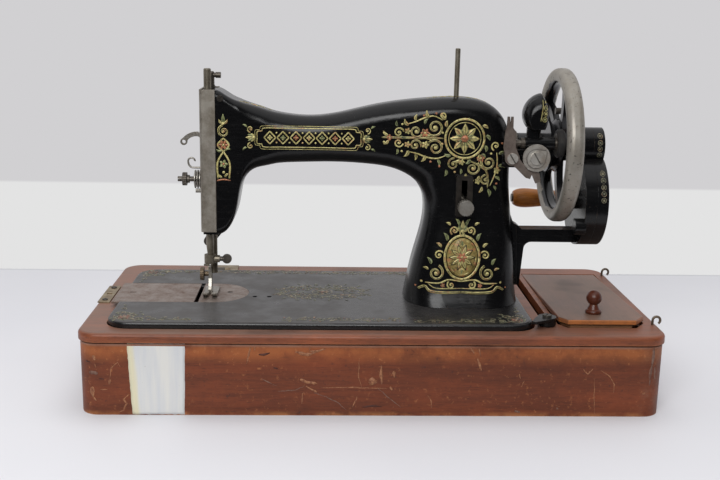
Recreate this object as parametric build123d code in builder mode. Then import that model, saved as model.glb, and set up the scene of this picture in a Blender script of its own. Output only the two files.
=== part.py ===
from build123d import *
from math import acos, cos, hypot, pi, radians, sin, sqrt, tan
import os

# Hand-crank sewing machine in its wooden case base, in millimetres.
# Origin: centre of the base's underside. +X to the handwheel, +Y to the back, +Z up.

os.makedirs("parts", exist_ok=True)


def finish(builder, name):
    """Label a finished piece and write it to its own file."""
    builder.part.label = name
    export_step(builder.part, f"parts/{name}.step")


def along_x(x, y, z):
    """Plane facing +X at a point, its own x along +Y."""
    return Plane(origin=(x, y, z), x_dir=(0, 1, 0), z_dir=(1, 0, 0))


def along_y(x, y, z):
    """Plane facing the front (-Y) at a point, its own x along +X."""
    return Plane(origin=(x, y, z), x_dir=(1, 0, 0), z_dir=(0, -1, 0))


# Clearances
running = 0.05
loose = 0.3
seat_gap = 0.2

# Wooden base
base_length = 506.0
base_depth = 232.0
base_height = 73.0
plate_thickness = 8.0
plate_corner = 18.0
plate_round = 3.5
plate_overhang = 1.5
wall_thickness = 9.0
groove = 1.6
bottom_thickness = 4.0
divider_thickness = 5.0

# Machine bed
left_border = 22.0
right_bay = 113.0
front_border = 15.0
rear_border = 39.0
bed_length = base_length - left_border - right_bay
bed_depth = base_depth - front_border - rear_border
bed_corner = 20.0
bed_left = -base_length / 2 + left_border
bed_right = bed_left + bed_length
bed_front = -base_depth / 2 + front_border
bed_back = bed_front + bed_depth
bed_rise = 5.5
bed_web = 6.0
skirt_wall = 5.0
bed_gap = 1.0
bed_end_gap = 2.6

# Tilt hinges at the back of the bed
hinge_inset = 6.0
hinge_rise = 1.5
hinge_left = -150.0
hinge_right = 62.0
knuckle_radius = 4.5
hinge_pin_radius = 2.0
hinge_stem_radius = 3.5
hinge_stem_length = 22.0

# Accessory compartment and its lid
lid_left = bed_right + 24.0
lid_width = 77.0
lid_depth = base_depth - 52.0
lid_ply = 4.0
lid_clip = 14.0
lid_inset = 3.0
lid_raise = 2.2
lid_round = 1.2
lid_pin_radius = 1.3
lid_pin_length = 7.0
lid_pin_inset = 2.2
lid_gap = 0.5
lid_back_gap = 1.0
belt_slot_left = bed_right + 11.0
belt_slot_width = 7.5
belt_slot_depth = base_depth - 94.0
belt_slot_centre = 7.0

# Arm casting and its shaft line
shaft_y = -12.0
shaft_z = 223.0
head_end = -141.2
head_depth = 44.0
face_plate_width = 14.0
face_plate_wall = 1.5
head_bottom = 139.5
head_top = 270.0

# Needle and presser bars
needle_x = -149.5
needle_y = -18.0
needle_bar_radius = 3.3
presser_x = -148.0
presser_y = 1.0
presser_bar_radius = 3.4
presser_lift = 6.5

# Handwheel and hand crank
wheel_x = 170.0
wheel_radius = 70.0
rim_width = 15.0
rim_height = 12.5
shaft_radius = 6.0
tooth_module = 1.25
pinion_teeth = 20
gear_teeth = 60
gear_width = 8.0
crank_radius = 77.0
crank_droop = 10.0
grip_length = 58.0
grip_radius = 8.8

# Bobbin winder
winder_y = -50.0
winder_z = 229.5
winder_shaft_radius = 2.9
cam_x = 140.7
cam_z = 217.5
cam_radius = 12.0

# Places worked out from the sizes above
plate_top = base_height
plate_under = plate_top - plate_thickness
bed_top = plate_top + bed_rise
bed_under = plate_under + seat_gap
bed_skirt = bed_top - bed_under
web_under = bed_top - bed_web
bed_centre_x = (bed_left + bed_right) / 2
bed_centre_y = (bed_front + bed_back) / 2
wall_length = base_length - 2 * plate_overhang
wall_depth = base_depth - 2 * plate_overhang
wall_corner = plate_corner - plate_overhang
hinge_y = bed_back + hinge_inset
hinge_z = plate_top + hinge_rise
lid_right = lid_left + lid_width
lid_front = -lid_depth / 2
lid_back = lid_depth / 2
lid_centre_x = (lid_left + lid_right) / 2
gear_distance = tooth_module * (pinion_teeth + gear_teeth) / 2
gear_z = shaft_z - gear_distance
head_front = shaft_y - head_depth / 2
head_back = shaft_y + head_depth / 2
cover_left = head_end - loose - face_plate_width


# Wooden base

with BuildPart() as base_walls:
    with BuildSketch():
        RectangleRounded(wall_length, wall_depth, wall_corner)
        RectangleRounded(
            wall_length - 2 * wall_thickness,
            wall_depth - 2 * wall_thickness,
            wall_corner - wall_thickness,
            mode=Mode.SUBTRACT,
        )
    extrude(amount=plate_under)
    with BuildSketch(Plane.XY.offset(plate_under - groove)):
        RectangleRounded(wall_length + groove, wall_depth + groove, wall_corner)
        RectangleRounded(
            wall_length - 2 * groove,
            wall_depth - 2 * groove,
            wall_corner - groove,
            mode=Mode.SUBTRACT,
        )
    extrude(amount=groove, mode=Mode.SUBTRACT)
finish(base_walls, "base_walls")

inner_length = wall_length - 2 * wall_thickness
inner_depth = wall_depth - 2 * wall_thickness
inner_corner = wall_corner - wall_thickness

with BuildPart() as base_bottom:
    with BuildSketch():
        RectangleRounded(
            inner_length - 2 * seat_gap, inner_depth - 2 * seat_gap, inner_corner
        )
    extrude(amount=bottom_thickness)
finish(base_bottom, "base_bottom")

opening_left = bed_left - bed_gap
opening_right = bed_right + bed_end_gap
opening_length = opening_right - opening_left
opening_depth = bed_depth + 2 * bed_gap
opening_x = (opening_left + opening_right) / 2
leaf_width = 32.0
notch_depth = hinge_inset + knuckle_radius + 1.0


def clipped_panel(inset):
    """Outline of the lid or its opening: a rectangle with clipped front corners."""
    left = lid_left + inset
    right = lid_right - inset
    front = lid_front + inset
    back = lid_back - inset
    clip = lid_clip
    Polyline(
        (left, back),
        (left, front + clip * 0.75),
        (left + clip * 0.45, front),
        (right - clip * 0.75, front),
        (right, front + clip),
        (right, back),
        close=True,
    )


lid_pin_y = lid_back - lid_pin_inset
lid_pin_z = plate_top - lid_ply / 2

with BuildPart() as base_top:
    with BuildSketch(Plane.XY.offset(plate_under)):
        RectangleRounded(base_length, base_depth, plate_corner)
        with Locations((opening_x, bed_centre_y)):
            RectangleRounded(
                opening_length, opening_depth, bed_corner + bed_gap, mode=Mode.SUBTRACT
            )
        with Locations((belt_slot_left + belt_slot_width / 2, belt_slot_centre)):
            Rectangle(belt_slot_width, belt_slot_depth, mode=Mode.SUBTRACT)
        for x in (hinge_left, hinge_right):
            with Locations((x, bed_back + notch_depth / 2)):
                Rectangle(leaf_width - 8, notch_depth, mode=Mode.SUBTRACT)
    extrude(amount=plate_thickness)
    rim = base_top.faces().sort_by(Axis.Z)[-1].outer_wire()
    fillet(rim.edges(), radius=plate_round)
    with BuildSketch(Plane.XY.offset(plate_under)):
        with BuildLine():
            clipped_panel(lid_inset - lid_gap)
        make_face()
    extrude(amount=plate_thickness, mode=Mode.SUBTRACT)
    with BuildSketch(Plane.XY.offset(plate_top - lid_ply - seat_gap)):
        with BuildLine():
            clipped_panel(-lid_gap)
        make_face()
    extrude(amount=plate_thickness, mode=Mode.SUBTRACT)
    # room behind the pins for the rear edge of the opened lid
    with BuildSketch(Plane.XY.offset(plate_under)):
        with Locations((lid_centre_x, lid_back + lid_back_gap)):
            Rectangle(
                lid_width + 2 * lid_gap,
                lid_pin_inset + lid_back_gap + lid_ply,
                align=(Align.CENTER, Align.MAX),
            )
    extrude(amount=plate_thickness, mode=Mode.SUBTRACT)
    with BuildSketch(along_x(lid_left - lid_pin_length, lid_pin_y, lid_pin_z)):
        Circle(lid_pin_radius + running)
    extrude(amount=lid_width + 2 * lid_pin_length, mode=Mode.SUBTRACT)
finish(base_top, "base_top")

# Divider of the accessory compartment, and corner blocks under the bed's skirt
divider_x = opening_right + 2.0 + divider_thickness / 2
rest_size = 24.0
rest_height = plate_under - bottom_thickness
rest_xs = (bed_left + rest_size / 2, bed_right - rest_size / 2)
rest_ys = (-inner_depth / 2 + seat_gap + rest_size / 2, bed_back - rest_size / 2)

with BuildPart() as well_blocks:
    with BuildSketch(Plane.XY.offset(bottom_thickness)):
        with Locations((divider_x, 0)):
            Rectangle(divider_thickness, inner_depth - 2 * seat_gap)
        for x in rest_xs:
            for y in rest_ys:
                with Locations((x, y)):
                    Rectangle(rest_size, rest_size)
    extrude(amount=rest_height)
finish(well_blocks, "well_blocks")

# Lock plate of the case at the left border, and its screws
lock_plate_x = -base_length / 2 + 6.0
lock_plate_width = 11.0
lock_plate_length = 54.0
lock_plate_thickness = 1.2
lock_hole = 5.0
lock_screw_reach = 20.0

with BuildPart() as lock_plate:
    with BuildSketch(Plane.XY.offset(plate_top)):
        with Locations((lock_plate_x, 0)):
            Rectangle(lock_plate_width, lock_plate_length)
            Rectangle(lock_hole, lock_hole, mode=Mode.SUBTRACT)
    extrude(amount=lock_plate_thickness)
finish(lock_plate, "lock_plate")

# Wire eyes at the right edge that take the case cover's hooks
eye_ys = (-base_depth / 2 + 36.0, base_depth / 2 - 30.0)
eye_radius = 3.4
eye_wire = 1.1
eye_stem = 4.0
eye_arc = 235
eye_x = base_length / 2 - plate_round - eye_wire - 0.1

with BuildPart() as case_hooks:
    for y in eye_ys:
        with BuildLine(along_y(eye_x, y, plate_top)):
            foot = Line((0, 0), (0, eye_stem))
            JernArc(foot @ 1, foot % 1, eye_radius, -eye_arc)
        with BuildSketch(Plane(origin=foot @ 0, z_dir=foot % 0)):
            Circle(eye_wire)
        sweep()
finish(case_hooks, "case_hooks")

# Compartment lid, modelled closed and then raised about its pins

lid_axis = Axis((0, lid_pin_y, lid_pin_z), (-1, 0, 0))

with BuildPart() as lid_panel:
    with BuildSketch(Plane.XY.offset(plate_top - lid_ply)):
        with BuildLine():
            clipped_panel(0)
        make_face()
    extrude(amount=lid_ply)
    fillet(lid_panel.edges().group_by(Axis.Z)[-1], radius=lid_round)
    for x, side in ((lid_left, 1), (lid_right, -1)):
        with BuildSketch(along_x(x, lid_pin_y, lid_pin_z)):
            Circle(lid_pin_radius)
        extrude(amount=side * lid_pin_length, mode=Mode.SUBTRACT)
lid_panel.part = lid_panel.part.rotate(lid_axis, lid_raise)
finish(lid_panel, "lid_panel")

with BuildPart() as lid_batten:
    with BuildSketch(Plane.XY.offset(plate_top - 2 * lid_ply)):
        with BuildLine():
            clipped_panel(lid_inset)
        make_face()
    extrude(amount=lid_ply)
lid_batten.part = lid_batten.part.rotate(lid_axis, lid_raise)
finish(lid_batten, "lid_batten")

with BuildPart() as lid_pins:
    for x, side in ((lid_left, 1), (lid_right, -1)):
        with BuildSketch(along_x(x + side * lid_pin_length, lid_pin_y, lid_pin_z)):
            Circle(lid_pin_radius)
        extrude(amount=-side * (2 * lid_pin_length - lid_gap))
finish(lid_pins, "lid_pins")

# Turned knob, drawn as half a profile and revolved
knob_x = lid_centre_x - 4.0
knob_y = lid_front + 24.0
knob_radius = 6.9
knob_foot_radius = 6.6
knob_foot_height = 4.0
knob_neck_radius = 3.6
knob_ball_z = 14.3
knob_neck_z = knob_ball_z - sqrt(knob_radius**2 - knob_neck_radius**2)

with BuildPart() as lid_knob:
    with BuildSketch(along_y(knob_x, knob_y, plate_top)):
        with BuildLine():
            Line((0, 0), (knob_foot_radius, 0))
            RadiusArc(
                (knob_foot_radius, 0),
                (knob_foot_radius - 1.0, knob_foot_height),
                -knob_foot_height * 0.6,
            )
            Line((knob_foot_radius - 1.0, knob_foot_height), (knob_neck_radius, knob_neck_z))
            ThreePointArc(
                (knob_neck_radius, knob_neck_z),
                (knob_radius, knob_ball_z),
                (0, knob_ball_z + knob_radius),
            )
            Line((0, knob_ball_z + knob_radius), (0, 0))
        make_face()
    revolve(axis=Axis((knob_x, knob_y, 0), (0, 0, 1)))
lid_knob.part = lid_knob.part.rotate(lid_axis, lid_raise)
finish(lid_knob, "lid_knob")

# Turn button that holds the bed down, turned clear of the bed's corner
latch_x = bed_right + 12.6
latch_y = bed_front + 17.0
latch_angle = 226.0
latch_length = 21.5
latch_width = 11.0
latch_washer = 1.0
latch_nose = 2.4
latch_body_radius = 8.0
latch_screw_radius = 2.0
latch_body = bed_rise + seat_gap + latch_nose - latch_washer
latch_seat = plate_top + latch_washer
lock_top = plate_top + lock_plate_thickness

with BuildPart() as bed_latch:
    with BuildSketch(Plane.XY.offset(plate_top + latch_washer)):
        Circle(latch_body_radius)
    extrude(amount=latch_body)
    with BuildSketch(Plane.XY.offset(bed_top + seat_gap)):
        with BuildLine():
            Polyline(
                (0, -latch_body_radius),
                (latch_length * 0.5, -latch_width / 2),
                (latch_length, -1.8),
                (latch_length, 1.8),
                (latch_length * 0.5, latch_width / 2),
                (0, latch_body_radius),
                close=True,
            )
        make_face()
    extrude(amount=latch_nose)
    with BuildSketch(Plane.XY.offset(plate_top)):
        Circle(latch_screw_radius + running)
    extrude(amount=latch_body + 5, mode=Mode.SUBTRACT)
bed_latch.part = bed_latch.part.rotate(Axis.Z, latch_angle).translate((latch_x, latch_y, 0))
finish(bed_latch, "bed_latch")

latch_head = 1.8
lock_head = 0.8
lock_head_radius = 2.6
screw_slot = 0.8

with BuildPart() as case_screws:
    with BuildSketch(Plane.XY.offset(plate_top)):
        with Locations((latch_x, latch_y)):
            Circle(latch_screw_radius)
    extrude(amount=latch_washer + latch_body + running)
    with BuildSketch(Plane.XY.offset(plate_top)):
        with Locations((latch_x, latch_y)):
            Circle(latch_screw_radius * 2)
    extrude(amount=latch_washer - running)
    for x, y, z, radius, height in (
        (latch_x, latch_y, latch_seat + latch_body + running, latch_screw_radius * 2, latch_head),
        (lock_plate_x, lock_screw_reach, lock_top, lock_head_radius, lock_head),
        (lock_plate_x, -lock_screw_reach, lock_top, lock_head_radius, lock_head),
    ):
        with BuildSketch(Plane.XY.offset(z)):
            with Locations((x, y)):
                Circle(radius)
        extrude(amount=height)
        with BuildSketch(Plane.XY.offset(z + height / 2)):
            with Locations((x, y)):
                Rectangle(3 * radius, screw_slot, rotation=60)
        extrude(amount=height, mode=Mode.SUBTRACT)
finish(case_screws, "case_screws")

# Tilt hinges: leaves with their riveted pins on the wood, and the stems held by the bed
ear_width = 5.0
ear_gap = 8.0
leaf_back = 22.0
leaf_thickness = 1.6

with BuildPart() as hinge_leaves:
    for x in (hinge_left, hinge_right):
        with BuildSketch(Plane.XY.offset(plate_top)):
            with Locations((x, bed_back + notch_depth + leaf_back / 2 - 1.0)):
                Rectangle(leaf_width, leaf_back)
        extrude(amount=leaf_thickness)
        for side in (-1, 1):
            ear_x = x + side * (ear_gap + ear_width) / 2
            with BuildSketch(along_x(ear_x - ear_width / 2, hinge_y, hinge_z)):
                Circle(knuckle_radius)
                with Locations((knuckle_radius, leaf_thickness / 2 - hinge_rise)):
                    Rectangle(2 * knuckle_radius, leaf_thickness)
            extrude(amount=ear_width)
        with BuildSketch(along_x(x - ear_gap / 2, hinge_y, hinge_z)):
            Circle(hinge_pin_radius)
        extrude(amount=ear_gap)
finish(hinge_leaves, "hinge_leaves")

with BuildPart() as hinge_stems:
    for x in (hinge_left, hinge_right):
        with BuildSketch(along_x(x - ear_gap / 2 + loose, hinge_y, hinge_z)):
            Circle(knuckle_radius)
            Circle(hinge_pin_radius + running, mode=Mode.SUBTRACT)
        extrude(amount=ear_gap - 2 * loose)
        with BuildSketch(Plane(origin=(x, bed_back - hinge_stem_length, hinge_z), z_dir=(0, 1, 0))):
            Circle(hinge_stem_radius)
        extrude(amount=hinge_stem_length + hinge_inset - hinge_pin_radius - 1.5)
finish(hinge_stems, "hinge_stems")

# Bed: a flanged plate with the hook window, the plate seats and shaft bearings
plate_seat = 2.2
window_front = -40.0
window_back = 23.0
window_ledge = 4.0
needle_plate_left = -158.6
needle_plate_gap = 0.15
slide_gap = 3.9
slide_overhang = 6.0
window_width = window_back - window_front
window_y = (window_front + window_back) / 2
plate_radius = window_width / 2
plate_centre_x = needle_plate_left + 12.5
hook_y = needle_y
hook_z = 48.0
hook_shaft_radius = 5.0
bearing_width = 12.0
bearing_wall = 4.0
bearing_xs = (-112.0, 36.0)
well_left = 62.0
well_right = 110.0
well_front = -30.0
well_back = 6.0
guide_hole_radius = 2.2
guide_xs = (-108.2, -94.8)
guide_y = -20.5
feed_bar_x = -140.5
feed_bar_z = 66.0
feed_bar_radius = 4.0
feed_guide_y = 34.0
feed_guide_length = 14.0


def seat_outline(inset):
    """The slide way and the round end of the needle plate, as one sketch."""
    left = bed_left - 5 + inset * 3
    with Locations(((left + plate_centre_x) / 2, window_y)):
        Rectangle(plate_centre_x - left, window_width - 2 * inset)
    with Locations((plate_centre_x, window_y)):
        Circle(plate_radius - inset)


with BuildPart() as bed:
    with BuildSketch(Plane.XY.offset(bed_under)):
        with Locations((bed_centre_x, bed_centre_y)):
            RectangleRounded(bed_length, bed_depth, bed_corner)
    extrude(amount=bed_skirt)
    fillet(bed.edges().group_by(Axis.Z)[-1], radius=2.5)
    with BuildSketch(Plane.XY.offset(bed_under)):
        with Locations((bed_centre_x, bed_centre_y)):
            RectangleRounded(
                bed_length - 2 * skirt_wall,
                bed_depth - 2 * skirt_wall,
                bed_corner - skirt_wall,
            )
    extrude(amount=bed_skirt - bed_web, mode=Mode.SUBTRACT)
    for x in (hinge_left, hinge_right):
        with BuildSketch(Plane.XY.offset(bed_under)):
            with Locations((x, bed_back - skirt_wall - hinge_stem_length / 2)):
                Rectangle(4 * hinge_stem_radius, hinge_stem_length)
        extrude(amount=bed_skirt - bed_web)
    for x in bearing_xs:
        with BuildSketch(along_x(x - bearing_width / 2, hook_y, hook_z)):
            Circle(hook_shaft_radius + bearing_wall)
            with Locations((0, (web_under + 1 - hook_z) / 2)):
                Rectangle(2 * bearing_wall + 2 * hook_shaft_radius, web_under + 1 - hook_z)
        extrude(amount=bearing_width)
        with BuildSketch(along_x(x - bearing_width, hook_y, hook_z)):
            Circle(hook_shaft_radius + running)
        extrude(amount=2 * bearing_width, mode=Mode.SUBTRACT)
    with BuildSketch(along_y(feed_bar_x, feed_guide_y + feed_guide_length / 2, feed_bar_z)):
        Circle(feed_bar_radius + bearing_wall)
        with Locations((0, (web_under + 1 - feed_bar_z) / 2)):
            Rectangle(2 * bearing_wall + 2 * feed_bar_radius, web_under + 1 - feed_bar_z)
        Circle(feed_bar_radius + running, mode=Mode.SUBTRACT)
    extrude(amount=feed_guide_length)
    with BuildSketch(Plane.XY.offset(bed_top - plate_seat)):
        seat_outline(0)
    extrude(amount=plate_seat + 1, mode=Mode.SUBTRACT)
    with BuildSketch(Plane.XY.offset(bed_under - 1)):
        seat_outline(window_ledge)
    extrude(amount=bed_skirt + 2, mode=Mode.SUBTRACT)
    with BuildSketch(Plane.XY.offset(bed_under - 1)):
        with Locations(((well_left + well_right) / 2, (well_front + well_back) / 2)):
            Rectangle(well_right - well_left, well_back - well_front)
    extrude(amount=bed_skirt + 2, mode=Mode.SUBTRACT)
    with BuildSketch(Plane.XY.offset(web_under)):
        for x in guide_xs:
            with Locations((x, guide_y)):
                Circle(guide_hole_radius)
    extrude(amount=bed_web + 1, mode=Mode.SUBTRACT)
    for x in (hinge_left, hinge_right):
        with BuildSketch(Plane(origin=(x, bed_back + 1, hinge_z), z_dir=(0, -1, 0))):
            Circle(hinge_stem_radius)
        extrude(amount=hinge_stem_length + 1, mode=Mode.SUBTRACT)
finish(bed, "bed")

slide_top = bed_top - 0.1
slide_thickness = plate_seat - 0.3
slide_left = bed_left - slide_overhang
slide_right = needle_plate_left - slide_gap
finger_hole_x = bed_left + 8.0

with BuildPart() as slide_plate:
    with BuildSketch(Plane.XY.offset(slide_top - slide_thickness)):
        with Locations(((slide_left + slide_right) / 2, window_y)):
            Rectangle(slide_right - slide_left, window_width - 2 * loose)
        with Locations((finger_hole_x, window_y)):
            SlotOverall(6.0, 3.0, mode=Mode.SUBTRACT)
    extrude(amount=slide_thickness)
finish(slide_plate, "slide_plate")

feed_slot_width = 2.6
feed_slot_offset = 4.0
feed_slot_length = 24.0
feed_y = -16.0
plate_screw_x = -132.5
plate_screw_y = -6.0
plate_screw_radius = 2.6

with BuildPart() as needle_plate:
    with BuildSketch(Plane.XY.offset(bed_top - plate_seat)):
        with Locations(((needle_plate_left + plate_centre_x) / 2, window_y)):
            Rectangle(plate_centre_x - needle_plate_left, window_width - 2 * needle_plate_gap)
        with Locations((plate_centre_x, window_y)):
            Circle(plate_radius - needle_plate_gap)
        with Locations((needle_plate_left - plate_radius / 2, window_y)):
            Rectangle(plate_radius, 2 * plate_radius, mode=Mode.SUBTRACT)
        for side in (-1, 1):
            with Locations((needle_x + side * feed_slot_offset, feed_y)):
                Rectangle(feed_slot_width, feed_slot_length, mode=Mode.SUBTRACT)
        with Locations((needle_x, needle_y)):
            Circle(1.0, mode=Mode.SUBTRACT)
        with Locations((plate_screw_x, plate_screw_y)):
            Circle(plate_screw_radius, mode=Mode.SUBTRACT)
    extrude(amount=plate_seat)
finish(needle_plate, "needle_plate")

# Arm casting: rounded sections from the foot, over the shoulder, to the head.
# Each row is the under point, the upper point (x, z), the depth and the corner radius.
foot_depth = 85.0
arm_sections = (
    ((31, bed_top), (137, bed_top), foot_depth, 36),
    ((32, 86), (135.5, 86), 76, 32),
    ((34.5, 100), (134, 100), 67, 27),
    ((41, 128), (132, 126), 61, 23),
    ((46.5, 152), (129, 150), 56, 21),
    ((46.8, 172), (125.5, 176), 53, 20),
    ((42.5, 184), (124, 212), 51, 20),
    ((36, 192), (118.5, 245), 50, 20),
    ((26, 198), (100, 262), 49, 19),
    ((12, 202.5), (66, 266), 48, 19),
    ((-6, 204.8), (25, 262.3), 46, 18),
    ((-30, 206), (-15, 254.5), 43, 17),
    ((-62, 205.5), (-58, 247.3), 41, 16),
    ((-86, 204.3), (-86, 249.8), 41, 15),
    ((-104, 200.8), (-104, 254.9), 42, 13),
    ((-114, 194.5), (-114, 257.8), 43, 11),
    ((-119.6, 182), (-119.6, 259.6), head_depth, 9),
    ((-122.8, 165), (-122.8, 260.8), head_depth, 8),
    ((-128, 150), (-128, 263), head_depth, 7),
    ((-134.5, 142), (-134.5, 267), head_depth, 6.5),
    ((head_end, head_bottom), (head_end, head_top), head_depth, 6),
)


def section_plane(under, upper):
    """Plane of one arm section, its x along the section from under to upper."""
    reach = hypot(upper[0] - under[0], upper[1] - under[1])
    across = ((upper[0] - under[0]) / reach, (upper[1] - under[1]) / reach)
    middle = ((under[0] + upper[0]) / 2, shaft_y, (under[1] + upper[1]) / 2)
    return Plane(
        origin=middle, x_dir=(across[0], 0, across[1]), z_dir=(-across[1], 0, across[0])
    )


shaft_bore = 9.0
lug_width = 12.2
top_lug_height = 11.0
bottom_lug_height = 11.0
cavity_depth = 13.5
cavity_low = 156.0
cavity_high = 258.0
cavity_side = 6.0
well_top = 205.0
pivot_z = 171.5
pivot_y = -8.0
pivot_radius = 2.5
stitch_x = 81.0
stitch_boss_y = -40.0
stitch_slot_low = 168.0
stitch_slot_high = 194.0
stitch_plate_width = 15.0
stitch_plate_low = 161.0
stitch_plate_high = 198.0
spool_x = 74.0
spool_radius = 2.3
spool_shank = 1.8
spool_seat = 258.0
spool_shoulder = 266.4
lifter_x = head_end + 5.5
lifter_z = 149.0
lifter_pin_radius = 2.4
lifter_pin_depth = 4.0
cover_inside = cover_left + face_plate_wall
lug_left = head_end - lug_width

with BuildPart() as arm:
    for under, upper, depth, corner in arm_sections:
        with BuildSketch(section_plane(under, upper)):
            RectangleRounded(hypot(upper[0] - under[0], upper[1] - under[1]), depth, corner)
    loft()
    # lugs inside the face plate that guide the needle and presser bars
    for low, height in (
        (head_top - top_lug_height - 0.6, top_lug_height),
        (head_bottom + 0.6, bottom_lug_height),
    ):
        with BuildSketch(Plane.XY.offset(low)):
            with Locations((head_end - lug_width / 2 + 0.5, shaft_y)):
                Rectangle(lug_width + 1, head_depth - 2 * face_plate_wall - 2 * loose)
        extrude(amount=height)
    # raised pad for the stitch length plate
    with BuildSketch(Plane.XZ.offset(-stitch_boss_y - 6)):
        with Locations((stitch_x, (stitch_plate_low + stitch_plate_high) / 2)):
            Rectangle(stitch_plate_width + 1, stitch_plate_high - stitch_plate_low + 1)
    extrude(amount=6)
    # head cavity, shaft bore and the well in the pillar
    with BuildSketch(Plane.XY.offset(cavity_low)):
        with Locations((head_end + cavity_depth / 2 - 1, shaft_y)):
            Rectangle(cavity_depth + 2, head_depth - 2 * cavity_side)
    extrude(amount=cavity_high - cavity_low, mode=Mode.SUBTRACT)
    with BuildSketch(along_x(head_end, shaft_y, shaft_z)):
        Circle(shaft_bore)
    extrude(amount=bed_right - head_end, mode=Mode.SUBTRACT)
    with BuildSketch(along_y(lifter_x, head_back - lifter_pin_depth, lifter_z)):
        Circle(lifter_pin_radius)
    extrude(amount=-2 * lifter_pin_depth, mode=Mode.SUBTRACT)
    with BuildSketch(Plane.XY.offset(bed_top - 1)):
        with Locations(((well_left + well_right) / 2, (well_front + well_back) / 2)):
            Rectangle(well_right - well_left, well_back - well_front)
    extrude(amount=well_top - bed_top, mode=Mode.SUBTRACT)
    with BuildSketch(Plane.XZ.offset(20)):
        with Locations((stitch_x, (stitch_slot_low + stitch_slot_high) / 2)):
            Rectangle(6.0, stitch_slot_high - stitch_slot_low)
    extrude(amount=30, mode=Mode.SUBTRACT)
    with BuildSketch(along_x(well_left - 4, pivot_y, pivot_z)):
        Circle(pivot_radius)
    extrude(amount=well_right - well_left + 8, mode=Mode.SUBTRACT)
    # needle bar, presser bar and spool pin holes
    with BuildSketch(Plane.XY.offset(head_bottom - 2)):
        with Locations((needle_x, needle_y)):
            Circle(needle_bar_radius + running)
        with Locations((presser_x, presser_y)):
            Circle(presser_bar_radius + running)
    extrude(amount=head_top - head_bottom + 4, mode=Mode.SUBTRACT)
    with BuildSketch(Plane.XY.offset(spool_seat)):
        with Locations((spool_x, shaft_y)):
            Circle(spool_shank)
    extrude(amount=2 * (spool_shoulder - spool_seat), mode=Mode.SUBTRACT)
finish(arm, "arm")

# Face plate: a nickel cover of U section that closes the head
cover_low = head_bottom + 3.0
cover_high = head_top + 0.3
lever_slot_low = 178.0
lever_slot_high = 240.0
lever_y = -8.5
lever_thickness = 2.6
tension_y = -21.0
tension_z = 189.0
stud_radius = 2.3
cover_screw_z = 253.5

with BuildPart() as face_plate:
    with BuildSketch(Plane.XY.offset(cover_low)):
        with Locations((cover_left + face_plate_width / 2, shaft_y)):
            Rectangle(face_plate_width, head_depth)
    extrude(amount=cover_high - cover_low)
    corners = face_plate.edges().filter_by(Axis.Z).group_by(Axis.X)[0]
    fillet(corners, radius=3.0)
    with BuildSketch(Plane.XY.offset(cover_low - 1)):
        with Locations((cover_inside + face_plate_width / 2, shaft_y)):
            Rectangle(face_plate_width, head_depth - 2 * face_plate_wall)
    extrude(amount=cover_high - cover_low + 2, mode=Mode.SUBTRACT)
    with BuildSketch(along_x(cover_left - 1, 0, 0)):
        with Locations((lever_y, (lever_slot_low + lever_slot_high) / 2)):
            SlotOverall(
                lever_slot_high - lever_slot_low, lever_thickness + 2.0, rotation=90
            )
        with Locations((tension_y, tension_z)):
            Circle(stud_radius)
    extrude(amount=face_plate_wall + 2, mode=Mode.SUBTRACT)
finish(face_plate, "face_plate")

# Needle bar with its clamp and thumb screw
needle_bar_low = 109.5
needle_bar_high = 288.0
clamp_low = 110.0
clamp_height = 8.0
clamp_radius = 5.2
clamp_boss_length = 9.0
clamp_screw_radius = 1.4
needle_shank_radius = 1.02

with BuildPart() as needle_bar:
    with BuildSketch(Plane.XY.offset(needle_bar_low)):
        with Locations((needle_x, needle_y)):
            Circle(needle_bar_radius)
    extrude(amount=needle_bar_high - needle_bar_low)
    chamfer(needle_bar.edges().group_by(Axis.Z)[-1], length=0.8)
    with BuildSketch(Plane.XY.offset(needle_bar_low)):
        with Locations((needle_x, needle_y)):
            Circle(needle_shank_radius)
    extrude(amount=clamp_height + 4, mode=Mode.SUBTRACT)
    with BuildSketch(Plane.XY.offset(clamp_low + clamp_height)):
        with Locations((needle_x - needle_bar_radius, needle_y)):
            Rectangle(3.2, 3 * needle_bar_radius)
    extrude(amount=14, taper=9, mode=Mode.SUBTRACT)
finish(needle_bar, "needle_bar")

with BuildPart() as needle_clamp:
    with BuildSketch(Plane.XY.offset(clamp_low)):
        with Locations((needle_x, needle_y)):
            Circle(clamp_radius)
    extrude(amount=clamp_height)
    with BuildSketch(along_x(needle_x, needle_y, clamp_low + clamp_height / 2)):
        Circle(clamp_height / 2 - 0.6)
    extrude(amount=clamp_boss_length)
    with BuildSketch(Plane.XY.offset(clamp_low)):
        with Locations((needle_x, needle_y)):
            Circle(needle_bar_radius)
    extrude(amount=clamp_height, mode=Mode.SUBTRACT)
    with BuildSketch(along_x(needle_x, needle_y, clamp_low + clamp_height / 2)):
        Circle(clamp_screw_radius + running)
    extrude(amount=clamp_boss_length + 1, mode=Mode.SUBTRACT)
    # thread guide below the clamp
    with BuildSketch(Plane.XY.offset(clamp_low - 1.6)):
        with Locations((needle_x - 2.6, needle_y - clamp_radius + 0.6)):
            Rectangle(5.2, 2.0)
    extrude(amount=1.6)
finish(needle_clamp, "needle_clamp")

paddle_radius = 4.4
paddle_thickness = 2.4
screw_collar = 2.6

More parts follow.
